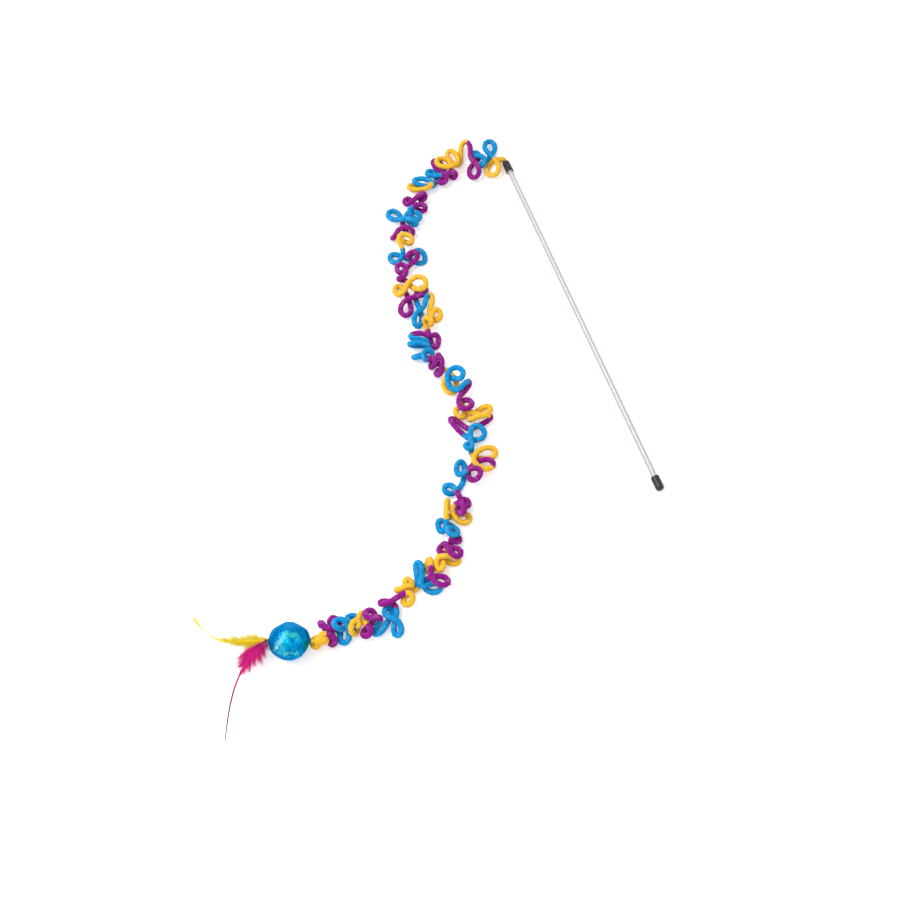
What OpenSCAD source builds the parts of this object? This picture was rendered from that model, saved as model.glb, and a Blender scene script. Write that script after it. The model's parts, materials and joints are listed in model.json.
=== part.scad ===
// Cat teaser wand: a clear rod with two soft caps, and a lure of curled chenille
// that ends in a foil ball with two feathers.
// The rod's axis is +Y, from the handle to the tip. The origin is on that axis,
// at the mouth of the handle cap. The wand lies on a floor that is cap_d / 2 below it.

/* [Rod] */
// Diameter of the rod
rod_d = 6.35; // [5.5:0.05:7]
// Length of the rod between its two cut ends
rod_len = 454; // [300:1:600]
// Bevel that breaks the edge of each cut end
rod_bevel = 0.4; // [0.2:0.1:0.8]

/* [Caps] */
// Outside diameter of a cap
cap_d = 9.2; // [8.6:0.1:10]
// Length of a cap from its mouth to its closed end
cap_len = 16.5; // [14:0.5:24]
// Thickness of a cap's closed end
cap_end = 2; // [1.5:0.1:3]
// Radius that rounds the closed end
cap_round = 3.4; // [2.5:0.1:4]
// Rounding of the rim at the mouth
cap_rim = 0.5; // [0.3:0.1:0.6]
// Room between the rod and a cap's bore
cap_fit = 0.02; // [0.01:0.01:0.05]
// Diameter of the hole in the tip cap that the strand's end comes out of
cap_hole_d = 2.6; // [2.2:0.1:3]

/* [Knot at the tip] */
// Diameter of the round knot outside the tip cap
knot_d = 5.4; // [5:0.1:5.8]
// Distance from the tip cap's end to the middle of that knot
knot_out = 3.5; // [3.4:0.1:4]
// Diameter of the twisted neck that passes through the cap
neck_d = 2.2; // [1.8:0.1:2.4]
// Thickness of the flat knot held between the rod and the cap
stop_t = 2.8; // [2:0.1:4]
// Diameter of that flat knot
stop_d = 5.6; // [4:0.1:6]
// Room between a knot and what it bears on
knot_fit = 0.1; // [0.05:0.05:0.2]

/* [Chenille strand] */
// Diameter of the strand, measured on its pressed pile
strand_d = 5; // [4.6:0.1:5.2]

/* [Ball] */
// Diameter of the ball
ball_d = 40; // [36:0.5:42]
// Thickness of the crinkled foil skin
skin_t = 0.6; // [0.4:0.1:1]
// Room between the foam core and the skin
core_gap = 0.1; // [0.05:0.05:0.3]
// Diameter of the hole through the foam core
core_hole_d = 2.4; // [2.3:0.1:3]
// Diameter of the skin's opening at each pole
pole_d = 3.6; // [3:0.1:4.5]
// Outside diameter of the gathers round a pole
gather_d = 7; // [6:0.1:9]
// How far the gathers stand out of the ball
gather_h = 0.8; // [0.5:0.1:1.2]

/* [Ball tie] */
// Diameter of the knot between the strand and the ball
tie_d = 4.6; // [4:0.1:5]
// Distance from the ball's surface to the middle of that knot
tie_out = 2.9; // [2.7:0.1:3.4]
// Diameter of the tie's stem in the core
tie_stem_d = 2; // [1.6:0.1:2.2]
// Depth that the stem reaches into the ball
tie_depth = 9; // [6:0.5:14]

/* [Feathers] */
// Length of the yellow feather
yellow_len = 82; // [70:1:95]
// Length of the magenta feather
magenta_len = 99; // [80:1:110]
// Widest reach of the yellow feather's fluff to one side
yellow_fluff = 10; // [8:0.5:15]
// Widest reach of the magenta feather's fluff to one side
magenta_fluff = 12; // [9:0.5:16]
// Half width of a feather's narrow blade
blade_w = 1.7; // [1:0.1:2.5]
// Thickness of a feather's web
web_t = 0.5; // [0.4:0.1:0.8]
// Diameter of a quill at its root
quill_d = 1; // [0.8:0.05:1.1]
// Diameter of a quill at its tip
quill_tip_d = 0.5; // [0.3:0.05:0.7]
// Room between a quill and its web
web_gap = 0.15; // [0.05:0.05:0.2]

/* [Feather binding] */
// Diameter of the bound roots
binding_d = 3.2; // [2.8:0.1:3.4]
// Diameter of the binding thread
thread_d = 0.5; // [0.4:0.05:0.7]
// Turns of thread
thread_turns = 7; // [4:1:9]

/* [Hidden] */
// Sides of a true round
round_fn = 96;
// How far a cut runs past the face it cuts
cut_over = 1;

// Places along the wand's axis
cap_bore_len = cap_len - cap_end;
rod_start = -cap_bore_len;
rod_stop = rod_start + rod_len;
tip_inner = rod_stop + stop_t + 2 * knot_fit;
tip_apex = tip_inner + cap_end;
floor_z = -cap_d / 2;

// The lure lies in its own plan: its zero is on the floor under the tip cap's end,
// and this angle turns it about the wand's tip
lie_turn = -19.7;

// Where the ball rests in that plan, and its axis runs along X there
ball_at = [-225, -603, ball_d / 2];
tie_at = ball_at + [ball_d / 2 + tie_out, 0, 0];
root_at = ball_at - [ball_d / 2, 0, 0];

// Moves its children from the lure's plan to the wand
module laid() {
    translate([0, tip_apex, floor_z]) rotate([0, 0, lie_turn]) children();
}

// Turns a profile, drawn as [radius, distance along the axis], about the Y axis
module turned_y(fn = round_fn) {
    rotate([-90, 0, 0]) rotate_extrude($fn = fn) children();
}

// The same about the X axis
module turned_x(fn = round_fn) {
    rotate([0, 90, 0]) rotate_extrude($fn = fn) children();
}

// Points of an arc in a plane
arc_steps = 8;
function arc(centre, r, from, to, steps = arc_steps) =
    [for (k = [0:steps]) let (a = from + (to - from) * k / steps) centre + r * [cos(a), sin(a)]];

// Profile of a cap: closed end at zero, mouth at cap_len, bore as deep as the rod needs
module cap_profile() {
    r = cap_d / 2;
    bore_r = rod_d / 2 + cap_fit;
    rim_r = r - cap_rim;
    polygon(concat(
        [[0, 0]],
        arc([r - cap_round, cap_round], cap_round, -90, 0),
        arc([rim_r, cap_len - cap_rim], cap_rim, 0, 90),
        [[bore_r, cap_len], [bore_r, cap_end], [0, cap_end]]));
}

module rod() {
    color([0.86, 0.85, 0.88, 0.45])
        translate([0, rod_start, 0])
            turned_y()
                polygon([[0, 0], [rod_d / 2 - rod_bevel, 0], [rod_d / 2, rod_bevel],
                         [rod_d / 2, rod_len - rod_bevel], [rod_d / 2 - rod_bevel, rod_len], [0, rod_len]]);
}

module handle_cap() {
    color([0.13, 0.13, 0.14])
        translate([0, rod_start - cap_end, 0]) turned_y() cap_profile();
}

module tip_cap() {
    color([0.13, 0.13, 0.14])
        translate([0, tip_apex, 0])
            difference() {
                rotate([0, 0, 180]) turned_y() cap_profile();
                translate([0, cut_over, 0])
                    rotate([90, 0, 0]) cylinder(d = cap_hole_d, h = cap_end + 2 * cut_over, $fn = round_fn);
            }
}

// The strand's end: a flat knot behind the cap, a twisted neck and a round knot outside
module strand_anchor() {
    neck_r = neck_d / 2;
    knot_r = knot_d / 2;
    stop_r = stop_d / 2;
    stop_edge = stop_t / 4;
    from_rod = rod_stop + knot_fit;
    knot_mid = tip_apex + knot_out - from_rod;
    meet = asin(neck_r / knot_r);
    color([0.95, 0.72, 0.16])
        translate([0, from_rod, 0])
            turned_y()
                polygon(concat(
                    [[0, 0], [stop_r - stop_edge, 0], [stop_r, stop_edge], [stop_r, stop_t - stop_edge],
                     [stop_r - stop_edge, stop_t], [neck_r, stop_t]],
                    arc([0, knot_mid], knot_r, meet - 90, 90, 2 * arc_steps)));
}

// Curls of the strand, in order from the wand to the ball, in the lure's plan.
// A row is the curl's root x, y and z, its heading, rise and roll, its reach and width,
// and 1 where its two legs cross at the root
curls = [
    [-12, 3, 6, 259, 0, 0, 26, 17, 1],
    [-22, 6, 6, 76, 0, 0, 24, 15, 1],
    [-25, 0, 8, 245, 0, 40, 9, 8, 1],
    [-32, 4, 5, 125, 0, 0, 11, 9, 1],
    [-38, 1, 7, 271, 0, 0, 28, 15, 1],
    [-49, -3, 8, 88, 0, 0, 30, 14, 0],
    [-57, -9, 7, 117, 0, 0, 25, 12, 1],
    [-61, -15, 12, 160, 5, 0, 24, 17, 1],
    [-70, -21, 8, 340, 0, 60, 9, 7, 1],
    [-74, -22, 5, 118, 0, 0, 25, 13, 1],
    [-76, -26, 8, 262, 0, 0, 9, 9, 1],
    [-81, -31, 5, 127, 0, 0, 20, 12, 1],
    [-84, -38, 10, 174, 0, 30, 27, 9, 1],
    [-95, -49, 5, 152, 0, 0, 24, 11, 1],
    [-107, -58, 10, 5, 0, 60, 9, 7, 1],
    [-110, -63, 6, 172, 0, 0, 11, 13, 1],
    [-109, -73, 8, 0, 0, 40, 12, 7, 1],
    [-119, -80, 8, 335, 5, 75, 18, 9, 1],
    [-121, -88, 10, 325, 5, 75, 18, 9, 1],
    [-123, -91, 6, 141, 0, 0, 21, 17, 1],
    [-122, -102, 7, 330, 0, 40, 12, 7, 1],
    [-125, -105, 6, 229, 0, 40, 14, 6, 1],
    [-119, -136, 14, 90, 20, 0, 18, 19, 1],
    [-123, -139, 5, 206, 0, 0, 14, 17, 1],
    [-112, -143, 4, 19, 0, 0, 16, 20, 1],
    [-118, -151, 12, 37, 0, 20, 16, 8, 0],
    [-119, -158, 8, 190, 0, 20, 9, 10, 1],
    [-117, -171, 8, 195, 0, 60, 8, 6, 1],
    [-116, -185, 12, 12, 3, 0, 22, 18, 1],
    [-116, -186, 6, 188, 0, 0, 15, 16, 1],
    [-116, -200, 6, 264, 0, 0, 21, 14, 1],
    [-108, -199, 5, 51, 0, 0, 20, 11, 1],
    [-100, -212, 6, 258, 0, 0, 23, 11, 1],
    [-94, -216, 8, 81, 0, 0, 22, 8, 0],
    [-90, -221, 6, 10, 0, 0, 12, 13, 1],
    [-92, -235, 7, 90, 65, 0, 9, 6, 1],
    [-89, -254, 5, 0, 0, 0, 7, 16, 1],
    [-91, -249, 9, 184, 0, 20, 21, 8, 0],
    [-90, -260, 10, 183, 0, 70, 23, 7, 0],
    [-90, -273, 6, 187, 0, 50, 18, 6, 0],
    [-91, -281, 8, 97, 35, 0, 12, 9, 1],
    [-88, -278, 9, 285, 0, 30, 10, 7, 1],
    [-79, -286, 8, 95, 0, 30, 11, 7, 1],
    [-77, -287, 6, 250, 0, 30, 10, 7, 1],
    [-68, -291, 5, 272, 0, 0, 29, 18, 1],
    [-63, -320, 15, 82, 8, 0, 26, 19, 1],
    [-59, -324, 12, 51, 5, 60, 19, 8, 0],
    [-57, -329, 12, 308, 0, 10, 17, 16, 1],
    [-54, -334, 5, 262, 0, 0, 17, 14, 1],
    [-46, -352, 6, 34, 0, 0, 27, 13, 1],
    [-47, -359, 9, 22, 0, 70, 25, 8, 0],
    [-50, -366, 6, 135, 0, 20, 22, 8, 0],
    [-47, -379, 7, 50, 5, 0, 21, 19, 1],
    [-44, -391, 8, 120, 0, 20, 9, 8, 1],
    [-42, -397, 6, 17, 0, 0, 24, 13, 1],
    [-46, -406, 6, 0, 0, 0, 25, 14, 1],
    [-50, -411, 12, 312, 0, 0, 18, 16, 1],
    [-55, -428, 6, 91, 0, 0, 26, 12, 1],
    [-60, -437, 6, 165, 0, 20, 14, 8, 1],
    [-60, -451, 7, 0, 0, 20, 11, 10, 1],
    [-60, -455, 15, 300, 0, 20, 10, 8, 1],
    [-62, -457, 6, 308, 0, 0, 19, 17, 1],
    [-73, -474, 11, 83, 0, 75, 25, 8, 0],
    [-69, -475, 5, 182, 0, 0, 11, 17, 1],
    [-64, -474, 11, 263, 0, 0, 16, 9, 1],
    [-68, -497, 5, 48, 0, 0, 13, 7, 1],
    [-67, -501, 5, 195, 0, 40, 10, 7, 1],
    [-71, -506, 12, 350, 0, 40, 14, 7, 1],
    [-76, -509, 6, 342, 0, 20, 18, 8, 1],
    [-78, -512, 9, 266, 0, 70, 13, 7, 1],
    [-82, -520, 5, 175, 0, 0, 9, 15, 1],
    [-90, -535, 12, 348, 0, 0, 21, 11, 1],
    [-97, -540, 5, 353, 0, 0, 20, 13, 1],
    [-100, -545, 8, 90, 0, 0, 28, 10, 0],
    [-107, -546, 6, 107, 0, 40, 11, 7, 1],
    [-110, -545, 6, 185, 0, 40, 9, 8, 1],
    [-110, -546, 12, 267, 0, 0, 17, 12, 1],
    [-120, -562, 9, 175, 0, 40, 18, 7, 1],
    [-126, -574, 6, 293, 0, 0, 20, 9, 1],
    [-128, -578, 6, 92, 0, 0, 14, 10, 1],
    [-133, -578, 6, 232, 0, 20, 16, 8, 0],
    [-139, -575, 12, 172, 0, 0, 13, 12, 1],
    [-147, -581, 9, 243, 0, 0, 14, 12, 1],
    [-158, -584, 5, 73, 0, 20, 14, 7, 0],
    [-158, -590, 11, 150, 10, 20, 11, 9, 1],
    [-165, -583, 4.5, 90, 0, 0, 10, 13, 1],
    [-168, -584, 14, 180, 0, 50, 14, 7, 1],
    [-172, -588, 4, 262, 0, 20, 10, 9, 0],
    [-183, -588, 8, 92, 0, 50, 11, 7, 1],
    [-188, -589, 8, 137, 0, 50, 10, 7, 1],
    [-186, -592, 6, 285, 0, 40, 8, 7, 1],
    [-192.5, -598.5, 11, 205, 0, 0, 9.5, 12, 1]
];
// The strand's first and last points, which run straight into the two knots
strand_first = [[-4.2, 3.1, 4.6], [-6.8, 3.1, 4.6], [-9.4, 3.1, 4.7], [-12, 3.4, 5]];
strand_last = [[-190.5, -601.5, 17.5], [-194.2, -602.8, 19.6], [-196.9, -603, 20], [-199.5, -603, 20]];

// A curl's eight points: how far out, how far to the side and how far up, for legs
// that stay apart and for legs that cross
out_shares = [0, 0.24, 0.66, 1.15, 1.15, 0.66, 0.24, 0];
apart_shares = [0, -0.8, -1.5, -1.25, 1.25, 1.5, 0.8, 0];
cross_shares = [-0.3, 0.46, 1.5, 1.25, -1.25, -1.5, -0.46, 0.3];
apart_lift_shares = [-0.6, -0.4, 0, 0, 0, 0, 0.4, 0.6];
cross_lift_shares = [-1, -1, -0.6, -0.2, 0.2, 0.6, 1, 1];
root_shares = [-1, 0, 0, 0, 0, 0, 0, 1];
root_gap = 3.1;
leg_lift = 2.9;

function curl_root(i) = let (c = curls[max(0, min(len(curls) - 1, i))]) [c[0], c[1], c[2]];

function curl_points(i) =
    let (c = curls[i], heading = c[3], rise = c[4], roll = c[5], reach = c[6], half = c[7] / 2,
         crossed = c[8] == 1,
         out = [cos(heading) * cos(rise), sin(heading) * cos(rise), sin(rise)],
         flat_side = [-sin(heading), cos(heading), 0],
         flat_up = cross(out, flat_side),
         side = flat_side * cos(roll) + flat_up * sin(roll),
         up = flat_up * cos(roll) - flat_side * sin(roll),
         way = side * (curl_root(i + 1) - curl_root(i - 1)) < 0 ? -1 : 1,
         lift = i % 2 == 0 ? leg_lift : -leg_lift)
    [for (k = [0:len(out_shares) - 1])
        let (wide = crossed ? cross_shares[k] * half : apart_shares[k] * half + root_shares[k] * root_gap,
             high = (crossed ? cross_lift_shares[k] : apart_lift_shares[k]) * lift)
        curl_root(i) + out * out_shares[k] * reach + side * way * wide + up * high];

strand_raw = [each strand_first,
              for (i = [0:len(curls) - 1]) each curl_points(i),
              each strand_last];

// A smooth curve through the run of points: one sample at each point and one between
knot_weights = [1, 4, 1] / 6;
middle_weights = [1, 23, 23, 1] / 48;
function at_point(p, i) = knot_weights * [p[i - 1], p[i], p[i + 1]];
function between(p, i) = middle_weights * [p[i - 1], p[i], p[i + 1], p[i + 2]];
function samples(p) = [for (i = [1:len(p) - 3]) each [at_point(p, i), between(p, i)]];

// The curls are settled as real ones are. Each round parts stretches of pile that press on each other,
// opens bends that are too tight, spreads points that bunch up, and fairs the run
settle_rounds = 15;
pile_room = 6.5;
bend_room = 7.2;
step_room = 5.2;
fair_share = 0.2;
part_share = 0.28;
middle_share = 0.19;
bend_share = 0.35;
near = 56;
beside = 4;
fair_weights = [-1, 4, 0, 4, -1] / 6;
tiny = 0.5;
function sum(list) = [for (v = list) 1] * list;
function parting(s, i) =
    let (away = [for (j = [max(0, i - near):min(len(s) - 1, i + near)])
                 if (abs(j - i) > beside)
                 let (d = s[i] - s[j], n = norm(d))
                 if (n < pile_room) d * (pile_room - n) / max(n, tiny)])
    len(away) == 0 ? [0, 0, 0] : sum(away) / sqrt(len(away));
function opened(a, b, room) =
    let (d = a - b, n = max(norm(d), tiny)) n < room ? d * bend_share * (room - n) / n : [0, 0, 0];
function settled(p, rounds) =
    rounds < 1 ? p :
    let (s = samples(p),
         push = [for (i = [0:len(s) - 1]) parting(s, i)],
         first = len(strand_first),
         last = len(p) - len(strand_last) - 1,
         low = strand_d / 2 + tiny / 5)
    settled([for (i = [0:len(p) - 1])
        i < first || i > last ? p[i] :
        let (k = 2 * (i - 1),
             q = p[i] + part_share * push[k] + middle_share * (push[k - 1] + push[k + 1])
                 + opened(p[i], p[i - 2], bend_room) + opened(p[i], p[i + 2], bend_room)
                 + opened(p[i], p[i - 1], step_room) + opened(p[i], p[i + 1], step_room)
                 + fair_share * (fair_weights * [p[i - 2], p[i - 1], p[i], p[i + 1], p[i + 2]] - p[i]))
        [q.x, q.y, max(q.z, low)]], rounds - 1);

function unit(v) = v / norm(v);
// Direction of the run at each ring
function directions(c) = [for (i = [0:len(c) - 1])
    unit(c[min(i + 1, len(c) - 1)] - c[max(i - 1, 0)])];
// Carries a ring's first spoke along the run without twist
function spokes(t) = [for (i = 0, n = unit(cross(t[0], [0, 0, 1])); i < len(t);
                           i = i + 1, n = i < len(t) ? unit(n - t[i] * (n * t[i])) : n) n];
// In a tight bend the pile is pressed thinner, so that neighbouring rings never cross
press_share = 0.85;
function room(c, t, i) = i < 0 || i > len(c) - 2 ? strand_d :
    let (d = c[i + 1] - c[i])
    min(d * t[i], d * t[i + 1]) / max(norm(cross(t[i], t[i + 1])), tiny / 100);
function ring_radii(c, t) = [for (i = [0:len(c) - 1])
    min(strand_d / 2, press_share * min(room(c, t, i - 1), room(c, t, i)))];

// A closed tube through the rings
tube_sides = 6;
module tube(c, t, n, r, sides = tube_sides) {
    points = [for (i = [0:len(c) - 1]) let (b = cross(t[i], n[i]))
        for (k = [0:sides - 1]) let (a = 360 * k / sides) c[i] + r[i] * (n[i] * cos(a) + b * sin(a))];
    walls = [for (i = [0:len(c) - 2], k = [0:sides - 1])
        let (a = i * sides + k, b = i * sides + (k + 1) % sides)
        each [[a, a + sides, b], [b, a + sides, b + sides]]];
    last = (len(c) - 1) * sides;
    ends = [for (k = [1:sides - 2]) each [[0, k, k + 1], [last, last + k + 1, last + k]]];
    polyhedron(points = points, faces = concat(walls, ends));
}

module chenille_strand() {
    p = settled(strand_raw, settle_rounds);
    c = [strand_first[0], for (i = [1:len(p) - 2]) at_point(p, i), strand_last[len(strand_last) - 1]];
    t = directions(c);
    s = samples(p);
    least = min([for (i = [0:len(s) - 2 - beside]) min([for (j = [i + 1 + beside:len(s) - 1]) norm(s[i] - s[j])])]);
    echo(curls = len(curls), rings = len(c), least_gap_to_itself = least - strand_d);
    echo(length = sum([for (i = [1:len(s) - 1]) norm(s[i] - s[i - 1])]), top = max([for (q = s) q.z]));
    color([0.16, 0.55, 0.8]) laid() tube(c, t, spokes(t), ring_radii(c, t));
}

module ball_core() {
    core_d = ball_d - 2 * (skin_t + core_gap);
    color([0.93, 0.92, 0.88])
        laid() translate(ball_at)
            difference() {
                sphere(d = core_d, $fn = round_fn);
                translate([-core_d / 2 - cut_over, 0, 0]) rotate([0, 90, 0])
                    cylinder(d = core_hole_d, h = core_d + 2 * cut_over, $fn = round_fn);
            }
}

// A thin shell with a pinched lip of gathers round the opening at each pole
module ball_skin() {
    outer = ball_d / 2;
    inner = outer - skin_t;
    hole_r = pole_d / 2;
    foot = asin(gather_d / 2 / outer);
    mouth = asin(hole_r / inner);
    lip_x = outer + gather_h;
    skin_steps = 6 * arc_steps;
    color([0.05, 0.5, 0.78])
        laid() translate(ball_at)
            turned_x()
                polygon(concat(
                    arc([0, 0], outer, foot - 90, 90 - foot, skin_steps),
                    [[(hole_r + skin_t + gather_d / 2) / 2, outer], [hole_r + skin_t, lip_x], [hole_r, lip_x]],
                    arc([0, 0], inner, 90 - mouth, mouth - 90, skin_steps),
                    [[hole_r, -lip_x], [hole_r + skin_t, -lip_x], [(hole_r + skin_t + gather_d / 2) / 2, -outer]]));
}

// A round knot outside the ball on a stem that is held in the foam
module ball_tie() {
    tie_r = tie_d / 2;
    stem_r = tie_stem_d / 2;
    meet = asin(stem_r / tie_r);
    color([0.95, 0.66, 0.14])
        laid() translate(tie_at)
            turned_x()
                polygon(concat(
                    [[0, -tie_out - tie_depth], [stem_r, -tie_out - tie_depth]],
                    arc([0, 0], tie_r, meet - 90, 90, 2 * arc_steps)));
}

// The lead of the two quills, and turns of thread round them
module feather_binding() {
    turn_r = thread_d / 2;
    in_r = binding_d / 2 - thread_d;
    color([0.2, 0.16, 0.24])
        laid() translate(root_at)
            turned_x()
                polygon(concat(
                    [[in_r, -gather_h - web_gap], [in_r, -gather_h - web_gap - thread_turns * thread_d]],
                    [for (k = [thread_turns - 1:-1:0])
                        each arc([binding_d / 2 - turn_r, -gather_h - web_gap - (k + 0.5) * thread_d],
                                 turn_r, -80, 80, arc_steps / 2)]));
}

// A feather lies in a plane that leaves the ball's pole. Its lie holds the heading, the roll of that
// plane, the bow of its quill as a share of its length, the power that sets where the bow is deepest,
// and the side of the binding that it leaves from
yellow_lie = [158.5, -15, 0.156, 1.25, 1];
magenta_lie = [250.9, -10, -0.096, 0.85, -1];
// Where a feather's fluff starts and stops along it, and the width of its blade, as shares
yellow_web_shares = [0.03, 0.5, 1];
magenta_web_shares = [0.05, 0.37, 0.4];
// Height of a feather's tip over the floor
feather_clear = 1.5;
// Depth of the quills in the ball, their straight run past the binding, and the room between them
quill_depth = 7;
quill_lead = 1.8;
quill_apart = 0.1;
quill_rings = 20;
barb_count = 26;
barb_lead_share = 0.62;
notch_lead_share = 0.97;
notch_share = 0.62;
blade_end_share = 0.3;
binding_out = gather_h + web_gap + thread_turns * thread_d;

function feather_dip(len) = asin((ball_d / 2 - feather_clear) / len);
function feather_root(lie) = root_at + [-binding_out - quill_lead, lie[4] * (quill_d + quill_apart) / 2, 0];
function spine(len, lie, s) = [len * s, lie[2] * len * sin(180 * pow(s, lie[3]))];
// A point of the feather's own plane, in the lure's plan
function in_plane(len, lie, q) =
    let (dip = feather_dip(len), a = lie[0], r = lie[1],
         along = [cos(a) * cos(dip), sin(a) * cos(dip), -sin(dip)],
         level = [-sin(a), cos(a), 0],
         across = level * cos(r) + cross(along, level) * sin(r))
    feather_root(lie) + along * q.x + across * q.y;

module quill(len, lie) {
    from = feather_root(lie);
    inside = root_at.x + quill_depth;
    straight = [for (x = [inside, (inside + from.x) / 2, from.x + quill_lead / 2, from.x]) [x, from.y, from.z]];
    run = concat(straight, [for (k = [1:quill_rings]) in_plane(len, lie, spine(len, lie, k / quill_rings))]);
    c = [run[0], for (i = [1:len(run) - 2]) at_point(run, i), run[len(run) - 1]];
    t = directions(c);
    r = [for (i = [0:len(c) - 1]) (quill_d + (quill_tip_d - quill_d) * i / (len(c) - 1)) / 2];
    laid() tube(c, t, spokes(t), r);
}

// Width of one side of a web: fluff by the root, then a narrow blade that runs out at the tip
function web_width(s, fluff, shares) =
    let (blade = blade_w * shares[2] * (1 - (1 - blade_end_share) * pow(s, 4)))
    s > shares[1] ? blade : max(blade, fluff * pow(sin(180 * (s - shares[0]) / (shares[1] - shares[0])), 0.6));

// One side of a web, as an outline of barbs that sweep towards the tip
module web(len, lie, fluff, shares, hand) {
    from = shares[0];
    step = (1 - from) / barb_count;
    in_r = quill_d / 2 + web_gap;
    inner = [for (k = [0:barb_count]) spine(len, lie, from + k * step) + [0, hand * in_r]];
    outer = [for (k = [0:barb_count - 1])
        let (s = from + k * step,
             w = web_width(s + step / 2, fluff, shares))
        each [spine(len, lie, s + barb_lead_share * step) + [0, hand * (in_r + w)],
              spine(len, lie, s + notch_lead_share * step) + [0, hand * (in_r + w * notch_share)]]];
    polygon([for (q = inner) q, for (k = [len(outer) - 1:-1:0]) outer[k]]);
}

module vane(len, lie, fluff, shares) {
    laid() translate(feather_root(lie)) rotate([0, feather_dip(len), lie[0]]) rotate([lie[1], 0, 0])
        translate([0, 0, -web_t / 2])
            for (hand = [-1, 1])
                linear_extrude(web_t) web(len, lie, fluff, shares, hand);
}

module yellow_quill() { color([0.93, 0.82, 0.2]) quill(yellow_len, yellow_lie); }
module yellow_vane() { color([0.95, 0.82, 0.08]) vane(yellow_len, yellow_lie, yellow_fluff, yellow_web_shares); }
module magenta_quill() { color([0.72, 0.12, 0.42]) quill(magenta_len, magenta_lie); }
module magenta_vane() { color([0.88, 0.08, 0.5]) vane(magenta_len, magenta_lie, magenta_fluff, magenta_web_shares); }

rod();
handle_cap();
tip_cap();
strand_anchor();
chenille_strand();
ball_core();
ball_skin();
ball_tie();
feather_binding();
yellow_quill();
yellow_vane();
magenta_quill();
magenta_vane();
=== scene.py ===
import json
import math

import bpy
import numpy as np
from bpy.props import FloatProperty, FloatVectorProperty, IntProperty, PointerProperty
from mathutils import Matrix, Vector, noise


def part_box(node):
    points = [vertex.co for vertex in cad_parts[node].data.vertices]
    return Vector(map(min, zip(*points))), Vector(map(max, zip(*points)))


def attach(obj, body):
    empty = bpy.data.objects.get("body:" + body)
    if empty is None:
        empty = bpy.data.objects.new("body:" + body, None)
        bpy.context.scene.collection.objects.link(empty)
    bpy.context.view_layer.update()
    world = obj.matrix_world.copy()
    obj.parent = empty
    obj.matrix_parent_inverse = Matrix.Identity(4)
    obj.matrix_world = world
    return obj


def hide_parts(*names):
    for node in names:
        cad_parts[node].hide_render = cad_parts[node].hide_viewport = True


bl_info = {
    "name": "Cat teaser wand",
    "version": (1, 0, 0),
    "blender": (4, 5, 0),
    "location": "View3D > Sidebar > Wand",
    "description": "Dresses the wand: chenille strand, knots, foil ball, feathers, thread, rod and caps",
    "category": "Object",
}

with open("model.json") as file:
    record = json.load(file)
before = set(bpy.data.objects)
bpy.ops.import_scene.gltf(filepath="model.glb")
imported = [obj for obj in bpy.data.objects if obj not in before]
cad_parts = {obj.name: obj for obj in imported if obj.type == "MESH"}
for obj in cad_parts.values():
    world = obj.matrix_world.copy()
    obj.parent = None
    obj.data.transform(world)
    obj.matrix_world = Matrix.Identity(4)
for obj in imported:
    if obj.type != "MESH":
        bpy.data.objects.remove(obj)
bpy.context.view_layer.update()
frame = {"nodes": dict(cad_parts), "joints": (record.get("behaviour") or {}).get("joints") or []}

# Lengths below are in millimetres, in the lure's plan: its zero is on the floor under the tip cap's
# end, and LIE_TURN turns it about that point. A length times MM is in metres, as the frame is
MM = 0.001
LIE_TURN = math.radians(-19.7)
tip_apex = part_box("tip_cap")[1].y
floor_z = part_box("tip_cap")[0].z
LIE = Matrix.Rotation(LIE_TURN, 4, "Z")
PLAN = Matrix.Translation((0, tip_apex, floor_z)) @ LIE @ Matrix.Scale(MM, 4)
PLAN_INVERSE = PLAN.inverted()
pivots = {joint["name"]: Vector(joint["pos_m"]) for joint in frame["joints"]}
skin_low, skin_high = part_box("ball_skin")
BALL_AT = PLAN_INVERSE @ ((skin_low + skin_high) / 2)
BALL_CENTRE = PLAN @ BALL_AT
BALL_R = (skin_high.z - skin_low.z) / 2 / MM
BALL_KNOT_AT = PLAN_INVERSE @ pivots["ball_swing"]
ROD_R = 3.175

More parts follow.
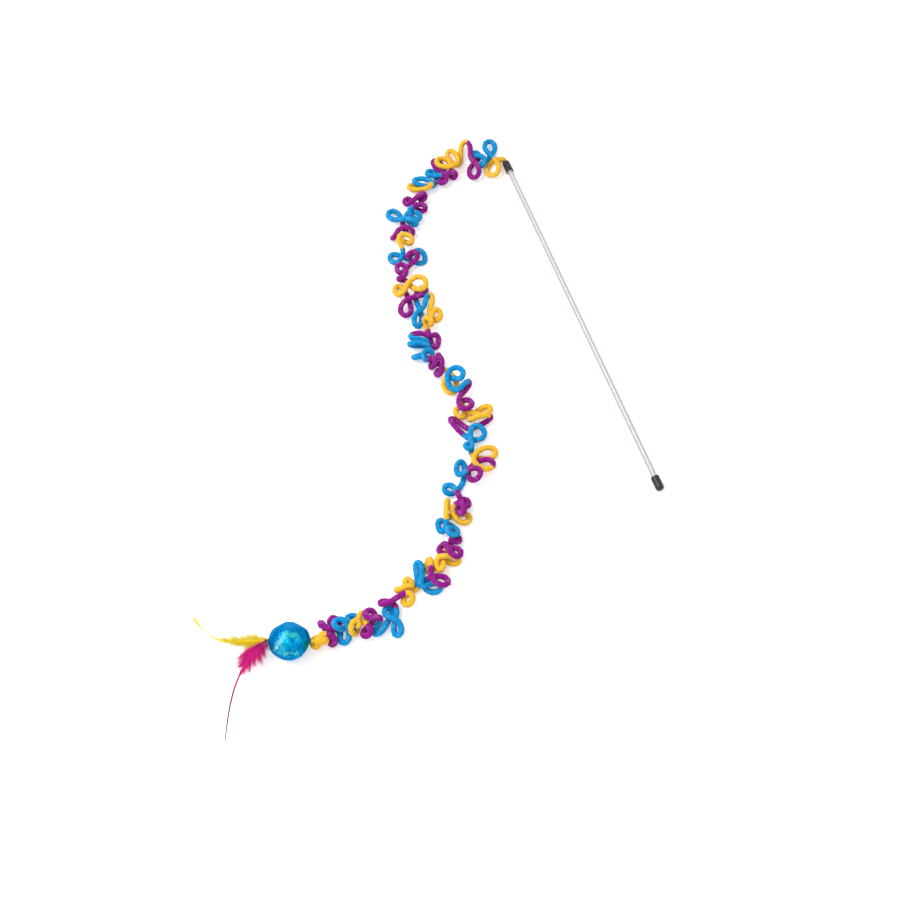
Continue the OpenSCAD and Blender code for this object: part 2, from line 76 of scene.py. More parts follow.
# Curls of the strand, in order from the wand to the ball. A row is the curl's root x, y and z, its
# heading, rise and roll, its reach and width, 1 where its two legs cross at the root, and its dye:
# y yellow, b blue, p purple, or two letters where the dye changes at the curl's end
CURLS = (
    (-12, 3, 6, 259, 0, 0, 26, 17, 1, "y"),
    (-22, 6, 6, 76, 0, 0, 24, 15, 1, "b"),
    (-25, 0, 8, 245, 0, 40, 9, 8, 1, "b"),
    (-32, 4, 5, 125, 0, 0, 11, 9, 1, "b"),
    (-38, 1, 7, 271, 0, 0, 28, 15, 1, "p"),
    (-49, -3, 8, 88, 0, 0, 30, 14, 0, "py"),
    (-57, -9, 7, 117, 0, 0, 25, 12, 1, "y"),
    (-61, -15, 12, 160, 5, 0, 24, 17, 1, "y"),
    (-70, -21, 8, 340, 0, 60, 9, 7, 1, "p"),
    (-74, -22, 5, 118, 0, 0, 25, 13, 1, "p"),
    (-76, -26, 8, 262, 0, 0, 9, 9, 1, "p"),
    (-81, -31, 5, 127, 0, 0, 20, 12, 1, "b"),
    (-84, -38, 10, 174, 0, 30, 27, 9, 1, "b"),
    (-95, -49, 5, 152, 0, 0, 24, 11, 1, "y"),
    (-107, -58, 10, 5, 0, 60, 9, 7, 1, "p"),
    (-110, -63, 6, 172, 0, 0, 11, 13, 1, "p"),
    (-109, -73, 8, 0, 0, 40, 12, 7, 1, "p"),
    (-119, -80, 8, 335, 5, 75, 18, 9, 1, "b"),
    (-121, -88, 10, 325, 5, 75, 18, 9, 1, "b"),
    (-123, -91, 6, 141, 0, 0, 21, 17, 1, "b"),
    (-122, -102, 7, 330, 0, 40, 12, 7, 1, "p"),
    (-125, -105, 6, 229, 0, 40, 14, 6, 1, "p"),
    (-119, -136, 14, 90, 20, 0, 18, 19, 1, "y"),
    (-123, -139, 5, 206, 0, 0, 14, 17, 1, "b"),
    (-112, -143, 4, 19, 0, 0, 16, 20, 1, "b"),
    (-118, -151, 12, 37, 0, 20, 16, 8, 0, "p"),
    (-119, -158, 8, 190, 0, 20, 9, 10, 1, "p"),
    (-117, -171, 8, 195, 0, 60, 8, 6, 1, "p"),
    (-116, -185, 12, 12, 3, 0, 22, 18, 1, "y"),
    (-116, -186, 6, 188, 0, 0, 15, 16, 1, "y"),
    (-116, -200, 6, 264, 0, 0, 21, 14, 1, "p"),
    (-108, -199, 5, 51, 0, 0, 20, 11, 1, "p"),
    (-100, -212, 6, 258, 0, 0, 23, 11, 1, "b"),
    (-94, -216, 8, 81, 0, 0, 22, 8, 0, "by"),
    (-90, -221, 6, 10, 0, 0, 12, 13, 1, "y"),
    (-92, -235, 7, 90, 65, 0, 9, 6, 1, "y"),
    (-89, -254, 5, 0, 0, 0, 7, 16, 1, "p"),
    (-91, -249, 9, 184, 0, 20, 21, 8, 0, "pb"),
    (-90, -260, 10, 183, 0, 70, 23, 7, 0, "b"),
    (-90, -273, 6, 187, 0, 50, 18, 6, 0, "b"),
    (-91, -281, 8, 97, 35, 0, 12, 9, 1, "b"),
    (-88, -278, 9, 285, 0, 30, 10, 7, 1, "p"),
    (-79, -286, 8, 95, 0, 30, 11, 7, 1, "p"),
    (-77, -287, 6, 250, 0, 30, 10, 7, 1, "p"),
    (-68, -291, 5, 272, 0, 0, 29, 18, 1, "y"),
    (-63, -320, 15, 82, 8, 0, 26, 19, 1, "b"),
    (-59, -324, 12, 51, 5, 60, 19, 8, 0, "bp"),
    (-57, -329, 12, 308, 0, 10, 17, 16, 1, "p"),
    (-54, -334, 5, 262, 0, 0, 17, 14, 1, "y"),
    (-46, -352, 6, 34, 0, 0, 27, 13, 1, "y"),
    (-47, -359, 9, 22, 0, 70, 25, 8, 0, "yp"),
    (-50, -366, 6, 135, 0, 20, 22, 8, 0, "p"),
    (-47, -379, 7, 50, 5, 0, 21, 19, 1, "b"),
    (-44, -391, 8, 120, 0, 20, 9, 8, 1, "b"),
    (-42, -397, 6, 17, 0, 0, 24, 13, 1, "y"),
    (-46, -406, 6, 0, 0, 0, 25, 14, 1, "yp"),
    (-50, -411, 12, 312, 0, 0, 18, 16, 1, "p"),
    (-55, -428, 6, 91, 0, 0, 26, 12, 1, "b"),
    (-60, -437, 6, 165, 0, 20, 14, 8, 1, "b"),
    (-60, -451, 7, 0, 0, 20, 11, 10, 1, "p"),
    (-60, -455, 15, 300, 0, 20, 10, 8, 1, "p"),
    (-62, -457, 6, 308, 0, 0, 19, 17, 1, "y"),
    (-73, -474, 11, 83, 0, 75, 25, 8, 0, "y"),
    (-69, -475, 5, 182, 0, 0, 11, 17, 1, "b"),
    (-64, -474, 11, 263, 0, 0, 16, 9, 1, "b"),
    (-68, -497, 5, 48, 0, 0, 13, 7, 1, "p"),
    (-67, -501, 5, 195, 0, 40, 10, 7, 1, "p"),
    (-71, -506, 12, 350, 0, 40, 14, 7, 1, "p"),
    (-76, -509, 6, 342, 0, 20, 18, 8, 1, "y"),
    (-78, -512, 9, 266, 0, 70, 13, 7, 1, "y"),
    (-82, -520, 5, 175, 0, 0, 9, 15, 1, "y"),
    (-90, -535, 12, 348, 0, 0, 21, 11, 1, "p"),
    (-97, -540, 5, 353, 0, 0, 20, 13, 1, "b"),
    (-100, -545, 8, 90, 0, 0, 28, 10, 0, "b"),
    (-107, -546, 6, 107, 0, 40, 11, 7, 1, "y"),
    (-110, -545, 6, 185, 0, 40, 9, 8, 1, "y"),
    (-110, -546, 12, 267, 0, 0, 17, 12, 1, "y"),
    (-120, -562, 9, 175, 0, 40, 18, 7, 1, "p"),
    (-126, -574, 6, 293, 0, 0, 20, 9, 1, "b"),
    (-128, -578, 6, 92, 0, 0, 14, 10, 1, "b"),
    (-133, -578, 6, 232, 0, 20, 16, 8, 0, "b"),
    (-139, -575, 12, 172, 0, 0, 13, 12, 1, "p"),
    (-147, -581, 9, 243, 0, 0, 14, 12, 1, "p"),
    (-158, -584, 5, 73, 0, 20, 14, 7, 0, "y"),
    (-158, -590, 11, 150, 10, 20, 11, 9, 1, "y"),
    (-165, -583, 4.5, 90, 0, 0, 10, 13, 1, "b"),
    (-168, -584, 14, 180, 0, 50, 14, 7, 1, "b"),
    (-172, -588, 4, 262, 0, 20, 10, 9, 0, "b"),
    (-183, -588, 8, 92, 0, 50, 11, 7, 1, "p"),
    (-188, -589, 8, 137, 0, 50, 10, 7, 1, "p"),
    (-186, -592, 6, 285, 0, 40, 8, 7, 1, "p"),
    (-192.5, -598.5, 11, 205, 0, 0, 9.5, 12, 1, "y"),
)
STRAND_FIRST = ((-4.2, 3.1, 4.6), (-6.8, 3.1, 4.6), (-9.4, 3.1, 4.7), (-12, 3.4, 5))
STRAND_LAST = ((-190.5, -601.5, 17.5), (-194.2, -602.8, 19.6), (-196.9, -603, 20), (-199.5, -603, 20))
ENDS_DYE = "y"

# A curl's eight points: how far out, how far to the side and how far up, for legs that stay apart
# and for legs that cross
OUT_SHARES = (0, 0.24, 0.66, 1.15, 1.15, 0.66, 0.24, 0)
APART_SHARES = (0, -0.8, -1.5, -1.25, 1.25, 1.5, 0.8, 0)
CROSS_SHARES = (-0.3, 0.46, 1.5, 1.25, -1.25, -1.5, -0.46, 0.3)
APART_LIFT_SHARES = (-0.6, -0.4, 0, 0, 0, 0, 0.4, 0.6)
CROSS_LIFT_SHARES = (-1, -1, -0.6, -0.2, 0.2, 0.6, 1, 1)
ROOT_SHARES = (-1, 0, 0, 0, 0, 0, 0, 1)
ROOT_GAP = 3.1
LEG_LIFT = 2.9

# How the curls settle: stretches of pile nearer than PILE_ROOM part, points one and two places apart
# open to STEP_ROOM and BEND_ROOM, and the run is faired. Samples up to BESIDE places apart are one
# stretch, and those past NEAR never meet. Each SHARE is how much of a push or a fairing one round takes
SETTLE_ROUNDS = 15
PILE_ROOM = 6.5
BEND_ROOM = 7.2
STEP_ROOM = 5.2
FAIR_SHARE = 0.2
PART_SHARE = 0.28
MIDDLE_SHARE = 0.19
BEND_SHARE = 0.35
NEAR = 56
BESIDE = 4
TINY = 0.5
LOWEST = 2.6
CURVE_STEPS = 8

# How thick the pile is along the strand: shares of its radius at distances in mm, STUB from the tip's
# knot and SWELL from the ball's. The strand is nipped where the stub meets the first curl
STUB = ((2.2, 3.6, 7.2, 8.6), (1, 1.22, 1.22, 1))
SWELL = ((0, 6, 46, 56, 130, 170), (1.5, 1.3, 1.3, 1.15, 1.12, 1.0))
NECK_AT = 8.2 * MM
NECK_LONG = 1.4 * MM
NECK_NIP = 0.28

# The two knots: the radius of each, then the flat knot inside the tip cap with the neck that joins it,
# and the stem in the foam and where it starts from the ball's middle. The last ring is END_R. Each knot
# has so many sides and rings, and its rows of tufts turn by KNOT_TWIST radians from ring to ring
KNOT_R = 2.2 * MM
STOP_LONG = 2.8 * MM
STOP_R = 2.5 * MM
KNOT_NECK_R = 0.85 * MM
BALL_KNOT_R = 2.3
STEM_R = 0.8
STEM_FROM = 11
END_R = 0.5 * MM
KNOT_SIDES = 16
KNOT_TWIST = 0.25
TIP_KNOT_RINGS = 30
BALL_KNOT_RINGS = 36

# Tubes of pile: the share of a bend's radius that its inside may take, how far the ends are domed in
# radii, the size of the lumps and their height on the strand and on the knots, the range of the tufts'
# height and how far they stand out of line, both in shares of it, and how many rows the map of a tube is
# cut in. A tube's first spoke is level, unless its line starts so steeply that the level share of its way
# is under STEEP
BEND_KEEP = 0.85
END_DOME = 0.3
LUMP_SIZE = 2.4 * MM
STRAND_LUMPS = 0.38 * MM
KNOT_LUMPS = 0.35 * MM
KNOT_TUFT = 0.3 * MM
TUFT_RANGE = (0.5, 1.5)
TUFT_STRAY = 0.4
MAP_ROWS = 16
STEEP = 0.5

# Loose fibres: where they are rooted in shares of the pile's radius, how far they lean, the least share
# of their full length, their half width, and how far out of the pile's painted shade they are at the root
FIBRE_ROOT = 0.9
FIBRE_LEAN = 0.4
FIBRE_LEAST = 0.3
FIBRE_HALF = 0.12 * MM
FIBRE_ROOT_UNSHADED = 0.4

# How far over the floor the pile, the film and the barbs are kept
PILE_LOW = 0.05 * MM
FILM_LOW = 0.03 * MM
BARB_LOW = 0.3


def screen(r, g, b):
    """A colour given as a screen shows it, 0 to 255, in the numbers that a material takes."""
    return tuple(c / 255 / 12.92 if c < 11 else ((c / 255 + 0.055) / 1.055) ** 2.4 for c in (r, g, b))


# Painted light on the foil ball's film, on the camera's side: mostly painted reflections of a soft light in
# its crinkles, with painted shade and a painted glint. Each row is place across and up in radii of the
# ball, half width, half height, lean to the right as it goes up, and colour
FILM_PAINTED_LIGHT = (
    # A paler band of painted highlight over the top
    (0.02, 0.78, 0.60, 0.13, 0.0, screen(40, 142, 204)),
    # A patch of painted shade, darker than the film round it
    (-0.56, 0.34, 0.17, 0.24, 0.6, screen(0, 92, 158)),
    (-0.43, -0.03, 0.15, 0.40, 0.55, screen(104, 188, 200)),
    (-0.13, 0.36, 0.18, 0.14, 0.0, screen(62, 176, 180)),
    (0.20, 0.32, 0.24, 0.13, 0.3, screen(52, 182, 182)),
    (0.40, 0.16, 0.13, 0.16, 0.0, screen(30, 184, 196)),
    (-0.10, -0.08, 0.17, 0.30, 0.0, screen(12, 168, 198)),
    (0.45, -0.03, 0.12, 0.15, 0.0, screen(0, 166, 220)),
    (-0.35, -0.40, 0.20, 0.12, 0.0, screen(44, 184, 214)),
    (0.20, -0.28, 0.17, 0.18, 0.0, screen(0, 144, 200)),
    (0.80, -0.20, 0.16, 0.27, 0.1, screen(0, 110, 90)),
    (-0.15, -0.62, 0.15, 0.09, 0.0, screen(80, 196, 192)),
    (0.12, -0.56, 0.09, 0.07, 0.0, screen(60, 180, 190)),
    (0.35, -0.58, 0.12, 0.08, 0.0, screen(70, 188, 186)),
    (-0.44, -0.60, 0.12, 0.06, 0.0, screen(70, 186, 192)),
    (-0.68, -0.44, 0.07, 0.08, 0.0, screen(96, 196, 200)),
    # A near-white painted glint
    (-0.62, -0.33, 0.06, 0.05, 0.0, screen(222, 240, 248)),
)
# Flats of the ball round the outline that the camera sees: angle and distance from its middle in radii
OUTLINE_FLATS = (
    (64, 0.93), (91, 0.955), (120, 0.94), (245, 0.955),
    (270, 0.945), (297, 0.94), (323, 0.942), (344, 0.96),
)
# The other flats' distances, how far the film reaches between flats and how sharply flats meet
FLAT_FAR = (0.965, 1.0)
ROUND_REACH = 1.03
FLAT_SHARP = 60
# The film's size as a share of the ball's, and how narrow the place is underneath that has it in full
FILM_SNUG = 0.975
UNDER_SHARP = 6
# How the patches' edges wander and fray: size of the waves in radii, their seeds, and how far they go
FILM_WANDERS = ((0.2, (3.0, 9.0), 0.05), (0.09, (5.0, 7.0), 0.09), (0.045, (15.0, 17.0), 0.08))
FILM_FRAYS = ((0.09, 21.0, 0.5), (0.045, 25.0, 0.6))
# Where a patch ends, in its half widths, and how soft its edge is
PATCH_END = 1.2
PATCH_SOFT = 0.5
# Clouds on the film, of deep blue all round and of a greener painted sheen away from the camera, and the
# rags that break the sheen: size in radii, seed, sharpness of the edges, and share where the noise is nil
DEEP_CLOUDS = (0.35, 2.0, -1.6, 0.5)
SHEEN_CLOUDS = (0.5, 6.0, 3.0, -0.4)
SHEEN_RAGS = (0.07, 8.0, 2.5, 0.5)
SHEEN_FROM = 0.3
SHEEN = screen(60, 200, 205)
# Small wrinkles of the film: size in radii, seed, and depth of their creases in shares of the crinkle
FILM_FOLDS = ((0.14, 1.0, 2.0), (0.06, 4.0, 1.0))
# The gathered mouth: where film and lining start, the width of the pleats' run and of the plain lip in
# radians, how far the pleats waver where they run out, how much of their height lies under the film, how
# hard the mouth draws in, and the lip's profile along the axis and from it in mm
MOUTH_R = 3.3
LINING_FROM = 0.11
PLEATS_WIDE = 0.42
MOUTH_WIDE = 0.2
PLEATS_WAVER = 5
PLEAT_SUNK = 0.6
MOUTH_DRAW = 0.7
LIP_PROFILE = ((20.3, 2.75), (20.7, 2.4), (20.78, 2.1), (20.5, 1.9), (19.8, 1.8))
LIP_FLUTE = 0.09
BALL_SIDES = 240
FILM_RINGS = 140
LINING_RINGS = 60
CORE_R = 17.5
CORE_BORE = 1.2
CORE_SIDES = 72
CORE_RINGS = 48

# How each feather lies: heading, roll of its plane, bow and its power, and the side that it is bound on
YELLOW_LIE = (158.5, -15, 0.156, 1.25, 1)
MAGENTA_LIE = (250.9, -10, -0.096, 0.85, -1)
# Fluff: the parts that a tuft is split in, half of which move half-way to the next tuft's tip if it is
# nearer than NEXT_TUFT, how far they stray from their place and its colour, the range of their length,
# and how much shorter they are for each whole step towards the next tuft
TUFT_PARTS = 4
NEXT_TUFT = 8.0
PART_STRAY = (1.1, 0.8, 1.2)
PART_SHADE = 0.12
PART_GROWTH = (0.76, 1.1)
PART_LOSS = 0.2
# Barbs: a tuft shorter than SHORT_TUFT has as many as if it were that long. Their lengths are a least
# share of the tuft's and a share left to chance, tips follow their roots' spread by TIP_FOLLOW and scatter
# less in height, and each barb bows out, back and up by shares of its length. BARB_SHADE is how far their
# colours stray from their tuft's
SHORT_TUFT = 4
TIP_FOLLOW = 0.35
HEIGHT_SCATTER = 0.8
BARB_GROWTH = (0.5, 0.6)
BOW_OUT = 0.05
BOW_BACK = 0.03
BOW_UP = (0.05, 0.06)
BARB_SHADE = 0.18
# How much a barb narrows along its length, besides its point, and its thickness as a share of its width
BARB_TAPER = 0.75
BARB_FLAT = 0.5
# The share of barbs that go their own way, and then, for those and for the rest, the spread of their
# roots and the scatter of their tips in mm, the power on their length's chance, their sway in shares of
# their length, and their half width
FREE_SHARE = 0.42
ROOT_SPREAD = (3.0, 1.3)
TIP_SCATTER = (1.7, 0.5)
LENGTH_POWER = (1.2, 0.6)
BARB_SWAY = (0.14, 0.05)
FREE_HALF = 0.045
CLUMP_HALF = (0.06, 0.11)
BARB_POINTS = 6
FLUFF_FROM = -0.075
# The blade's barbs: their sweep towards the tip and its spread in degrees, how far they lean off the
# plane, the ranges of their length and colour, their half width and their curl
BLADE_SWEEP = 66
BLADE_SPREAD = 3
BLADE_LEAN = 0.04
BLADE_LENGTHS = (0.85, 1.1)
BLADE_SHADES = (0.65, 1.0)
BLADE_HALF = 0.2
BLADE_CURL = 0.08
# The shafts, with their points past the binding and inside it and what their colour reads, the lip that
# they pass, and the thread round them, which stands off them over and under, bites into them at their
# sides, and lies higher where it crosses back
QUILL_D = 1.0
QUILL_DEPTH = 7.0
QUILL_LEAD = 1.8
QUILL_APART = 0.1
QUILL_STEPS = 60
QUILL_IN_STEPS = 8
QUILL_SIDES = 8
QUILL_WISP = 0.3
QUILL_CLUMP = 0.55
FEATHER_CLEAR = 1.5
LIP = 0.8
THREAD_D = 0.5
THREAD_TURNS = 7
CROSS_TURNS = 3
CROSS_LIFT = 0.22
THREAD_LOOSE = 0.12
THREAD_BITE = 0.1
THREAD_PLUMP = 1.06
TURN_STEPS = 28
THREAD_SIDES = 8
WEB_GAP = 0.15
BINDING_OUT = LIP + WEB_GAP + THREAD_TURNS * THREAD_D


class StudioSettings(bpy.types.PropertyGroup):
    """The camera, the lamps and the floor."""

    camera_at: FloatVectorProperty(
        name="Camera place", description="Where the camera stands", size=3, unit="LENGTH",
        subtype="TRANSLATION", default=(-0.3867, -0.3856, 1.1100))
    camera_tilt: FloatProperty(
        name="Camera tilt", description="Angle of the view from straight down", subtype="ANGLE",
        default=math.radians(25.25))
    camera_roll: FloatProperty(
        name="Camera roll", description="Roll of the camera about the floor's Y axis", subtype="ANGLE",
        default=math.radians(-0.83))
    camera_turn: FloatProperty(
        name="Camera turn", description="Heading of the view about the vertical", subtype="ANGLE",
        default=math.radians(-19.77))
    lens: FloatProperty(
        name="Lens", description="Focal length of the camera, in millimetres on a 36 mm sensor",
        default=45.84)
    sky: FloatProperty(
        name="Sky light", description="Strength of the even light from all round", default=0.68)
    key: FloatProperty(
        name="Key lamp", description="Power of the large soft lamp, in watts", default=19.0)
    overhead: FloatProperty(
        name="Overhead lamp", description="Power of the small soft lamp over the ball, in watts",
        default=0.5)
    floor_glow: FloatProperty(
        name="Floor glow", description="Light that the floor adds to the camera's view alone",
        default=0.33)
    floor_colour: FloatVectorProperty(
        name="Floor colour", description="Colour of the floor", size=3, subtype="COLOR", min=0, max=1,
        default=(1.0, 1.0, 1.0))


class StrandSettings(bpy.types.PropertyGroup):
    """The chenille strand and its two knots."""

    radius: FloatProperty(
        name="Pile radius", description="From the strand's middle to the foot of its tufts", unit="LENGTH",
        default=2.8 * MM)
    tuft: FloatProperty(
        name="Tuft height", description="How far the tufts stand out of the pile", unit="LENGTH",
        default=0.5 * MM)
    ring_step: FloatProperty(
        name="Ring step", description="Spacing of the rows of tufts along the strand", unit="LENGTH",
        default=1.2 * MM)
    ring_tufts: IntProperty(
        name="Tufts in a row", description="Tufts round the strand", default=12, min=6, max=24)
    fibre: FloatProperty(
        name="Fibre length", description="How far the loose fibres stand out of the tufts", unit="LENGTH",
        default=0.7 * MM)
    fibre_count: IntProperty(
        name="Fibres", description="Loose fibres on the whole strand", default=40000, min=0, max=50000)
    yellow: FloatVectorProperty(
        name="Yellow dye", description="Colour of the yellow runs", size=3, subtype="COLOR", min=0, max=1,
        default=screen(253, 207, 72))
    blue: FloatVectorProperty(
        name="Blue dye", description="Colour of the blue runs", size=3, subtype="COLOR", min=0, max=1,
        default=screen(18, 168, 224))
    purple: FloatVectorProperty(
        name="Purple dye", description="Colour of the purple runs", size=3, subtype="COLOR", min=0, max=1,
        default=screen(170, 37, 159))


class BallSettings(bpy.types.PropertyGroup):
    """The foil ball."""

    film: FloatProperty(
        name="Film thickness", description="Thickness of the film and its backing", unit="LENGTH",
        default=0.3 * MM)
    flats: IntProperty(
        name="Flats", description="Flat places that the film makes round the core", default=30, min=0,
        max=80)
    crinkle: FloatProperty(
        name="Crinkle", description="Height of the film's small wrinkles", unit="LENGTH",
        default=0.22 * MM)
    pleats: IntProperty(
        name="Pleats", description="Pleats gathered at each end of the ball", default=19, min=8, max=40)
    pleat: FloatProperty(
        name="Pleat height", description="Height of the pleats at the gathers", unit="LENGTH",
        default=0.45 * MM)
    blue: FloatVectorProperty(
        name="Film blue", description="Colour of most of the film", size=3, subtype="COLOR", min=0, max=1,
        default=screen(0, 134, 194))
    deep: FloatVectorProperty(
        name="Deep blue", description="Film colour where it is darkest", size=3, subtype="COLOR", min=0,
        max=1, default=screen(0, 112, 176))
    foam: FloatVectorProperty(
        name="Foam colour", description="Colour of the foam core", size=3, subtype="COLOR", min=0, max=1,
        default=screen(232, 230, 220))


class FeatherSettings(bpy.types.PropertyGroup):
    """The two feathers and the thread that binds them."""

    yellow_len: FloatProperty(
        name="Yellow length", description="Length of the yellow feather", unit="LENGTH", default=82 * MM)
    magenta_len: FloatProperty(
        name="Magenta length", description="Length of the magenta feather", unit="LENGTH",
        default=99 * MM)
    fluff_barbs: IntProperty(
        name="Fluff barbs", description="Barbs in the fluff of one feather", default=4600, min=100,
        max=5000)
    blade_barbs: IntProperty(
        name="Blade barbs", description="Barbs in the narrow blade of one feather", default=700, min=100,
        max=2000)
    yellow: FloatVectorProperty(
        name="Yellow", description="Colour of the yellow feather", size=3, subtype="COLOR", min=0, max=1,
        default=screen(255, 232, 36))
    # Ochre and plum are the feathers' deeper colours: partly their deeper tufts, partly painted shade deep
    # in the fluff
    ochre: FloatVectorProperty(
        name="Ochre", description="Yellow feather's colour in its depth", size=3, subtype="COLOR", min=0,
        max=1, default=screen(226, 178, 30))
    magenta: FloatVectorProperty(
        name="Magenta", description="Colour of the magenta feather", size=3, subtype="COLOR", min=0, max=1,
        default=screen(255, 28, 160))
    plum: FloatVectorProperty(
        name="Plum", description="Magenta feather's colour in its depth", size=3, subtype="COLOR", min=0,
        max=1, default=screen(120, 8, 92))
    bare: FloatVectorProperty(
        name="Bare shaft", description="Colour of the magenta shaft where the dye has run out", size=3,
        subtype="COLOR", min=0, max=1, default=screen(108, 50, 84))
    thread: FloatVectorProperty(
        name="Thread", description="Colour of the binding thread", size=3, subtype="COLOR", min=0, max=1,
        default=screen(70, 48, 78))


class RodSettings(bpy.types.PropertyGroup):
    """The clear rod and its caps."""

    # The rod's two colours are painted light: painted shade along its darker side, and the painted
    # highlight of its bright line, which also lightens the scuffs
    painted_side_shade: FloatVectorProperty(
        name="Rod tint", description="Colour of the clear plastic along its darker side", size=3,
        subtype="COLOR", min=0, max=1, default=screen(196, 186, 200))
    bright: FloatVectorProperty(
        name="Rod bright", description="Colour of the clear plastic along its bright line", size=3,
        subtype="COLOR", min=0, max=1, default=screen(250, 250, 251))
    cap: FloatVectorProperty(
        name="Cap colour", description="Colour of the soft caps", size=3, subtype="COLOR", min=0, max=1,
        default=screen(36, 36, 42))


class Value:
    """A shader socket that can stand in a sum. Each sum adds a Math node."""

    def __init__(self, shader, socket):
        self.shader = shader
        self.socket = socket

    def math(self, operation, *values):
        """The result of a Math node on values or sockets."""
        return self.shader.add("Math", {"operation": operation}, dict(enumerate(values)))

    def __add__(self, other):
        return self.math("ADD", self, other)

    def __sub__(self, other):
        return self.math("SUBTRACT", self, other)

    def __rsub__(self, other):
        return self.math("SUBTRACT", other, self)

    def __mul__(self, other):
        return self.math("MULTIPLY", self, other)

    __radd__ = __add__
    __rmul__ = __mul__

    def over(self, low, high):
        """0 below low, 1 above high and smooth between them."""
        span = {0: self, "From Min": low, "From Max": high}
        return self.shader.add("MapRange", {"interpolation_type": "SMOOTHSTEP"}, span)


class Shader:
    """The nodes of one material or of the sky."""

    def __init__(self, owner):
        owner.use_nodes = True
        self.owner = owner
        self.tree = owner.node_tree
        self.tree.nodes.clear()

    def add(self, kind, settings=None, inputs=None, out=0):
        """Adds a node. Its settings are set first, and then its sockets' values or links."""
        node = self.tree.nodes.new("ShaderNode" + kind)
        for name, setting in (settings or {}).items():
            if name == "stops":
                while len(node.color_ramp.elements) < len(setting):
                    node.color_ramp.elements.new(0.5)
                for element, (at, colour) in zip(node.color_ramp.elements, setting):
                    element.position = at
                    element.color = (*colour, 1)
            else:
                setattr(node, name, setting)
        for name, given in (inputs or {}).items():
            socket = node.inputs[name]
            if isinstance(given, Value):
                self.tree.links.new(given.socket, socket)
            elif socket.type == "RGBA":
                socket.default_value = (*given, 1)
            else:
                socket.default_value = given
        return Value(self, node.outputs[out]) if node.outputs else None

    def place(self):
        """Coordinates of the piece, in metres."""
        return self.add("TexCoord", out="Object")

    def read(self, name, out="Fac"):
        """Values that come with the mesh."""
        return self.add("Attribute", {"attribute_name": name}, out=out)

    def mix(self, share, a, b):
        """Colour a turned into colour b by share."""
        return self.add("Mix", {"data_type": "RGBA"}, {0: share, 6: a, 7: b}, out=2)

    def noise(self, scale, detail=2.0, roughness=0.5, stretch=(1, 1, 1)):
        """Noise from 0 to 1, with scale waves to the metre where it isn't stretched."""
        at = self.add("Mapping", None, {"Vector": self.place(), "Scale": stretch})
        return self.add("TexNoise", None, {
            "Vector": at, "Scale": scale, "Detail": detail, "Roughness": roughness})

    def bump(self, height, strength, distance):
        """A normal that follows a height, with the distance in metres."""
        return self.add("Bump", None, {"Height": height, "Strength": strength, "Distance": distance})

    def finish(self, **sockets):
        """Ends the nodes in a surface with these sockets, and returns what they belong to."""
        names = {name.replace("_", " "): given for name, given in sockets.items()}
        result = self.add("BsdfPrincipled", None, names)
        self.add("OutputMaterial", None, {"Surface": result})
        return self.owner


def new_shader(name):
    """An empty material, ready for its nodes."""
    return Shader(bpy.data.materials.new(name))


def chenille_material():
    """Short dense pile with a velvet sheen, painted shade between the tufts and painted highlights on their
    tips.
    """
    shader = new_shader("chenille")
    dye = shader.read("dye", "Color")
    tip = shader.read("tip")
    patch = shader.noise(200, detail=3, roughness=0.65)
    # deep is the colour of the painted shade between the tufts, and lit that of the painted highlight on
    # their tips
    deep = shader.add("Gamma", None, {"Color": dye, "Gamma": 1.5})
    lit = shader.mix(0.26, dye, (1.0, 1.0, 1.0))
    # Painted shade towards the tufts' feet and in random patches, and a painted highlight on the tips in
    # other patches
    colour = shader.mix(tip * 0.6 + patch.over(0.25, 0.75) * 0.5, deep, dye)
    colour = shader.mix(patch.over(0.5, 0.7) * tip * 0.8, colour, lit)
    grain = shader.noise(1700, detail=2)
    return shader.finish(
        Base_Color=colour, Roughness=0.95, Sheen_Weight=0.12, Sheen_Roughness=0.5, Specular_IOR_Level=0.1,
        Normal=shader.bump(grain, 0.3, 0.0004))


def foil_material():
    """Crinkled film: its colours and painted reflections come with the mesh, and fine creases break its
    gloss.
    """
    shader = new_shader("foil")
    film = shader.read("film", "Color")
    speck = shader.noise(620, detail=4, roughness=0.65)
    crease = shader.noise(300, detail=3, roughness=0.6, stretch=(0.6, 1, 1))
    bright = shader.mix(0.45, film, screen(56, 198, 214))
    dark = shader.mix(0.45, film, screen(0, 104, 172))
    colour = shader.mix(speck.over(0.32, 0.5), dark, film)
    colour = shader.mix(speck.over(0.55, 0.64) * 0.8, colour, bright)
    metallic = 0.85 + crease.over(0.4, 0.7) * 0.15
    roughness = 0.42 + speck * 0.2
    return shader.finish(
        Base_Color=colour, Metallic=metallic, Roughness=roughness, Specular_IOR_Level=0.1,
        Specular_Tint=screen(80, 196, 236), Normal=shader.bump(crease, 0.3, 0.0005))


def foam_material(settings):
    """Light closed-cell foam."""
    shader = new_shader("foam")
    cells = shader.add("TexVoronoi", None, {"Vector": shader.place(), "Scale": 900.0})
    shade = shader.mix(cells.over(0.1, 0.7), settings.foam, screen(206, 203, 192))
    return shader.finish(Base_Color=shade, Roughness=0.85, Normal=shader.bump(cells, 0.4, 0.0003))


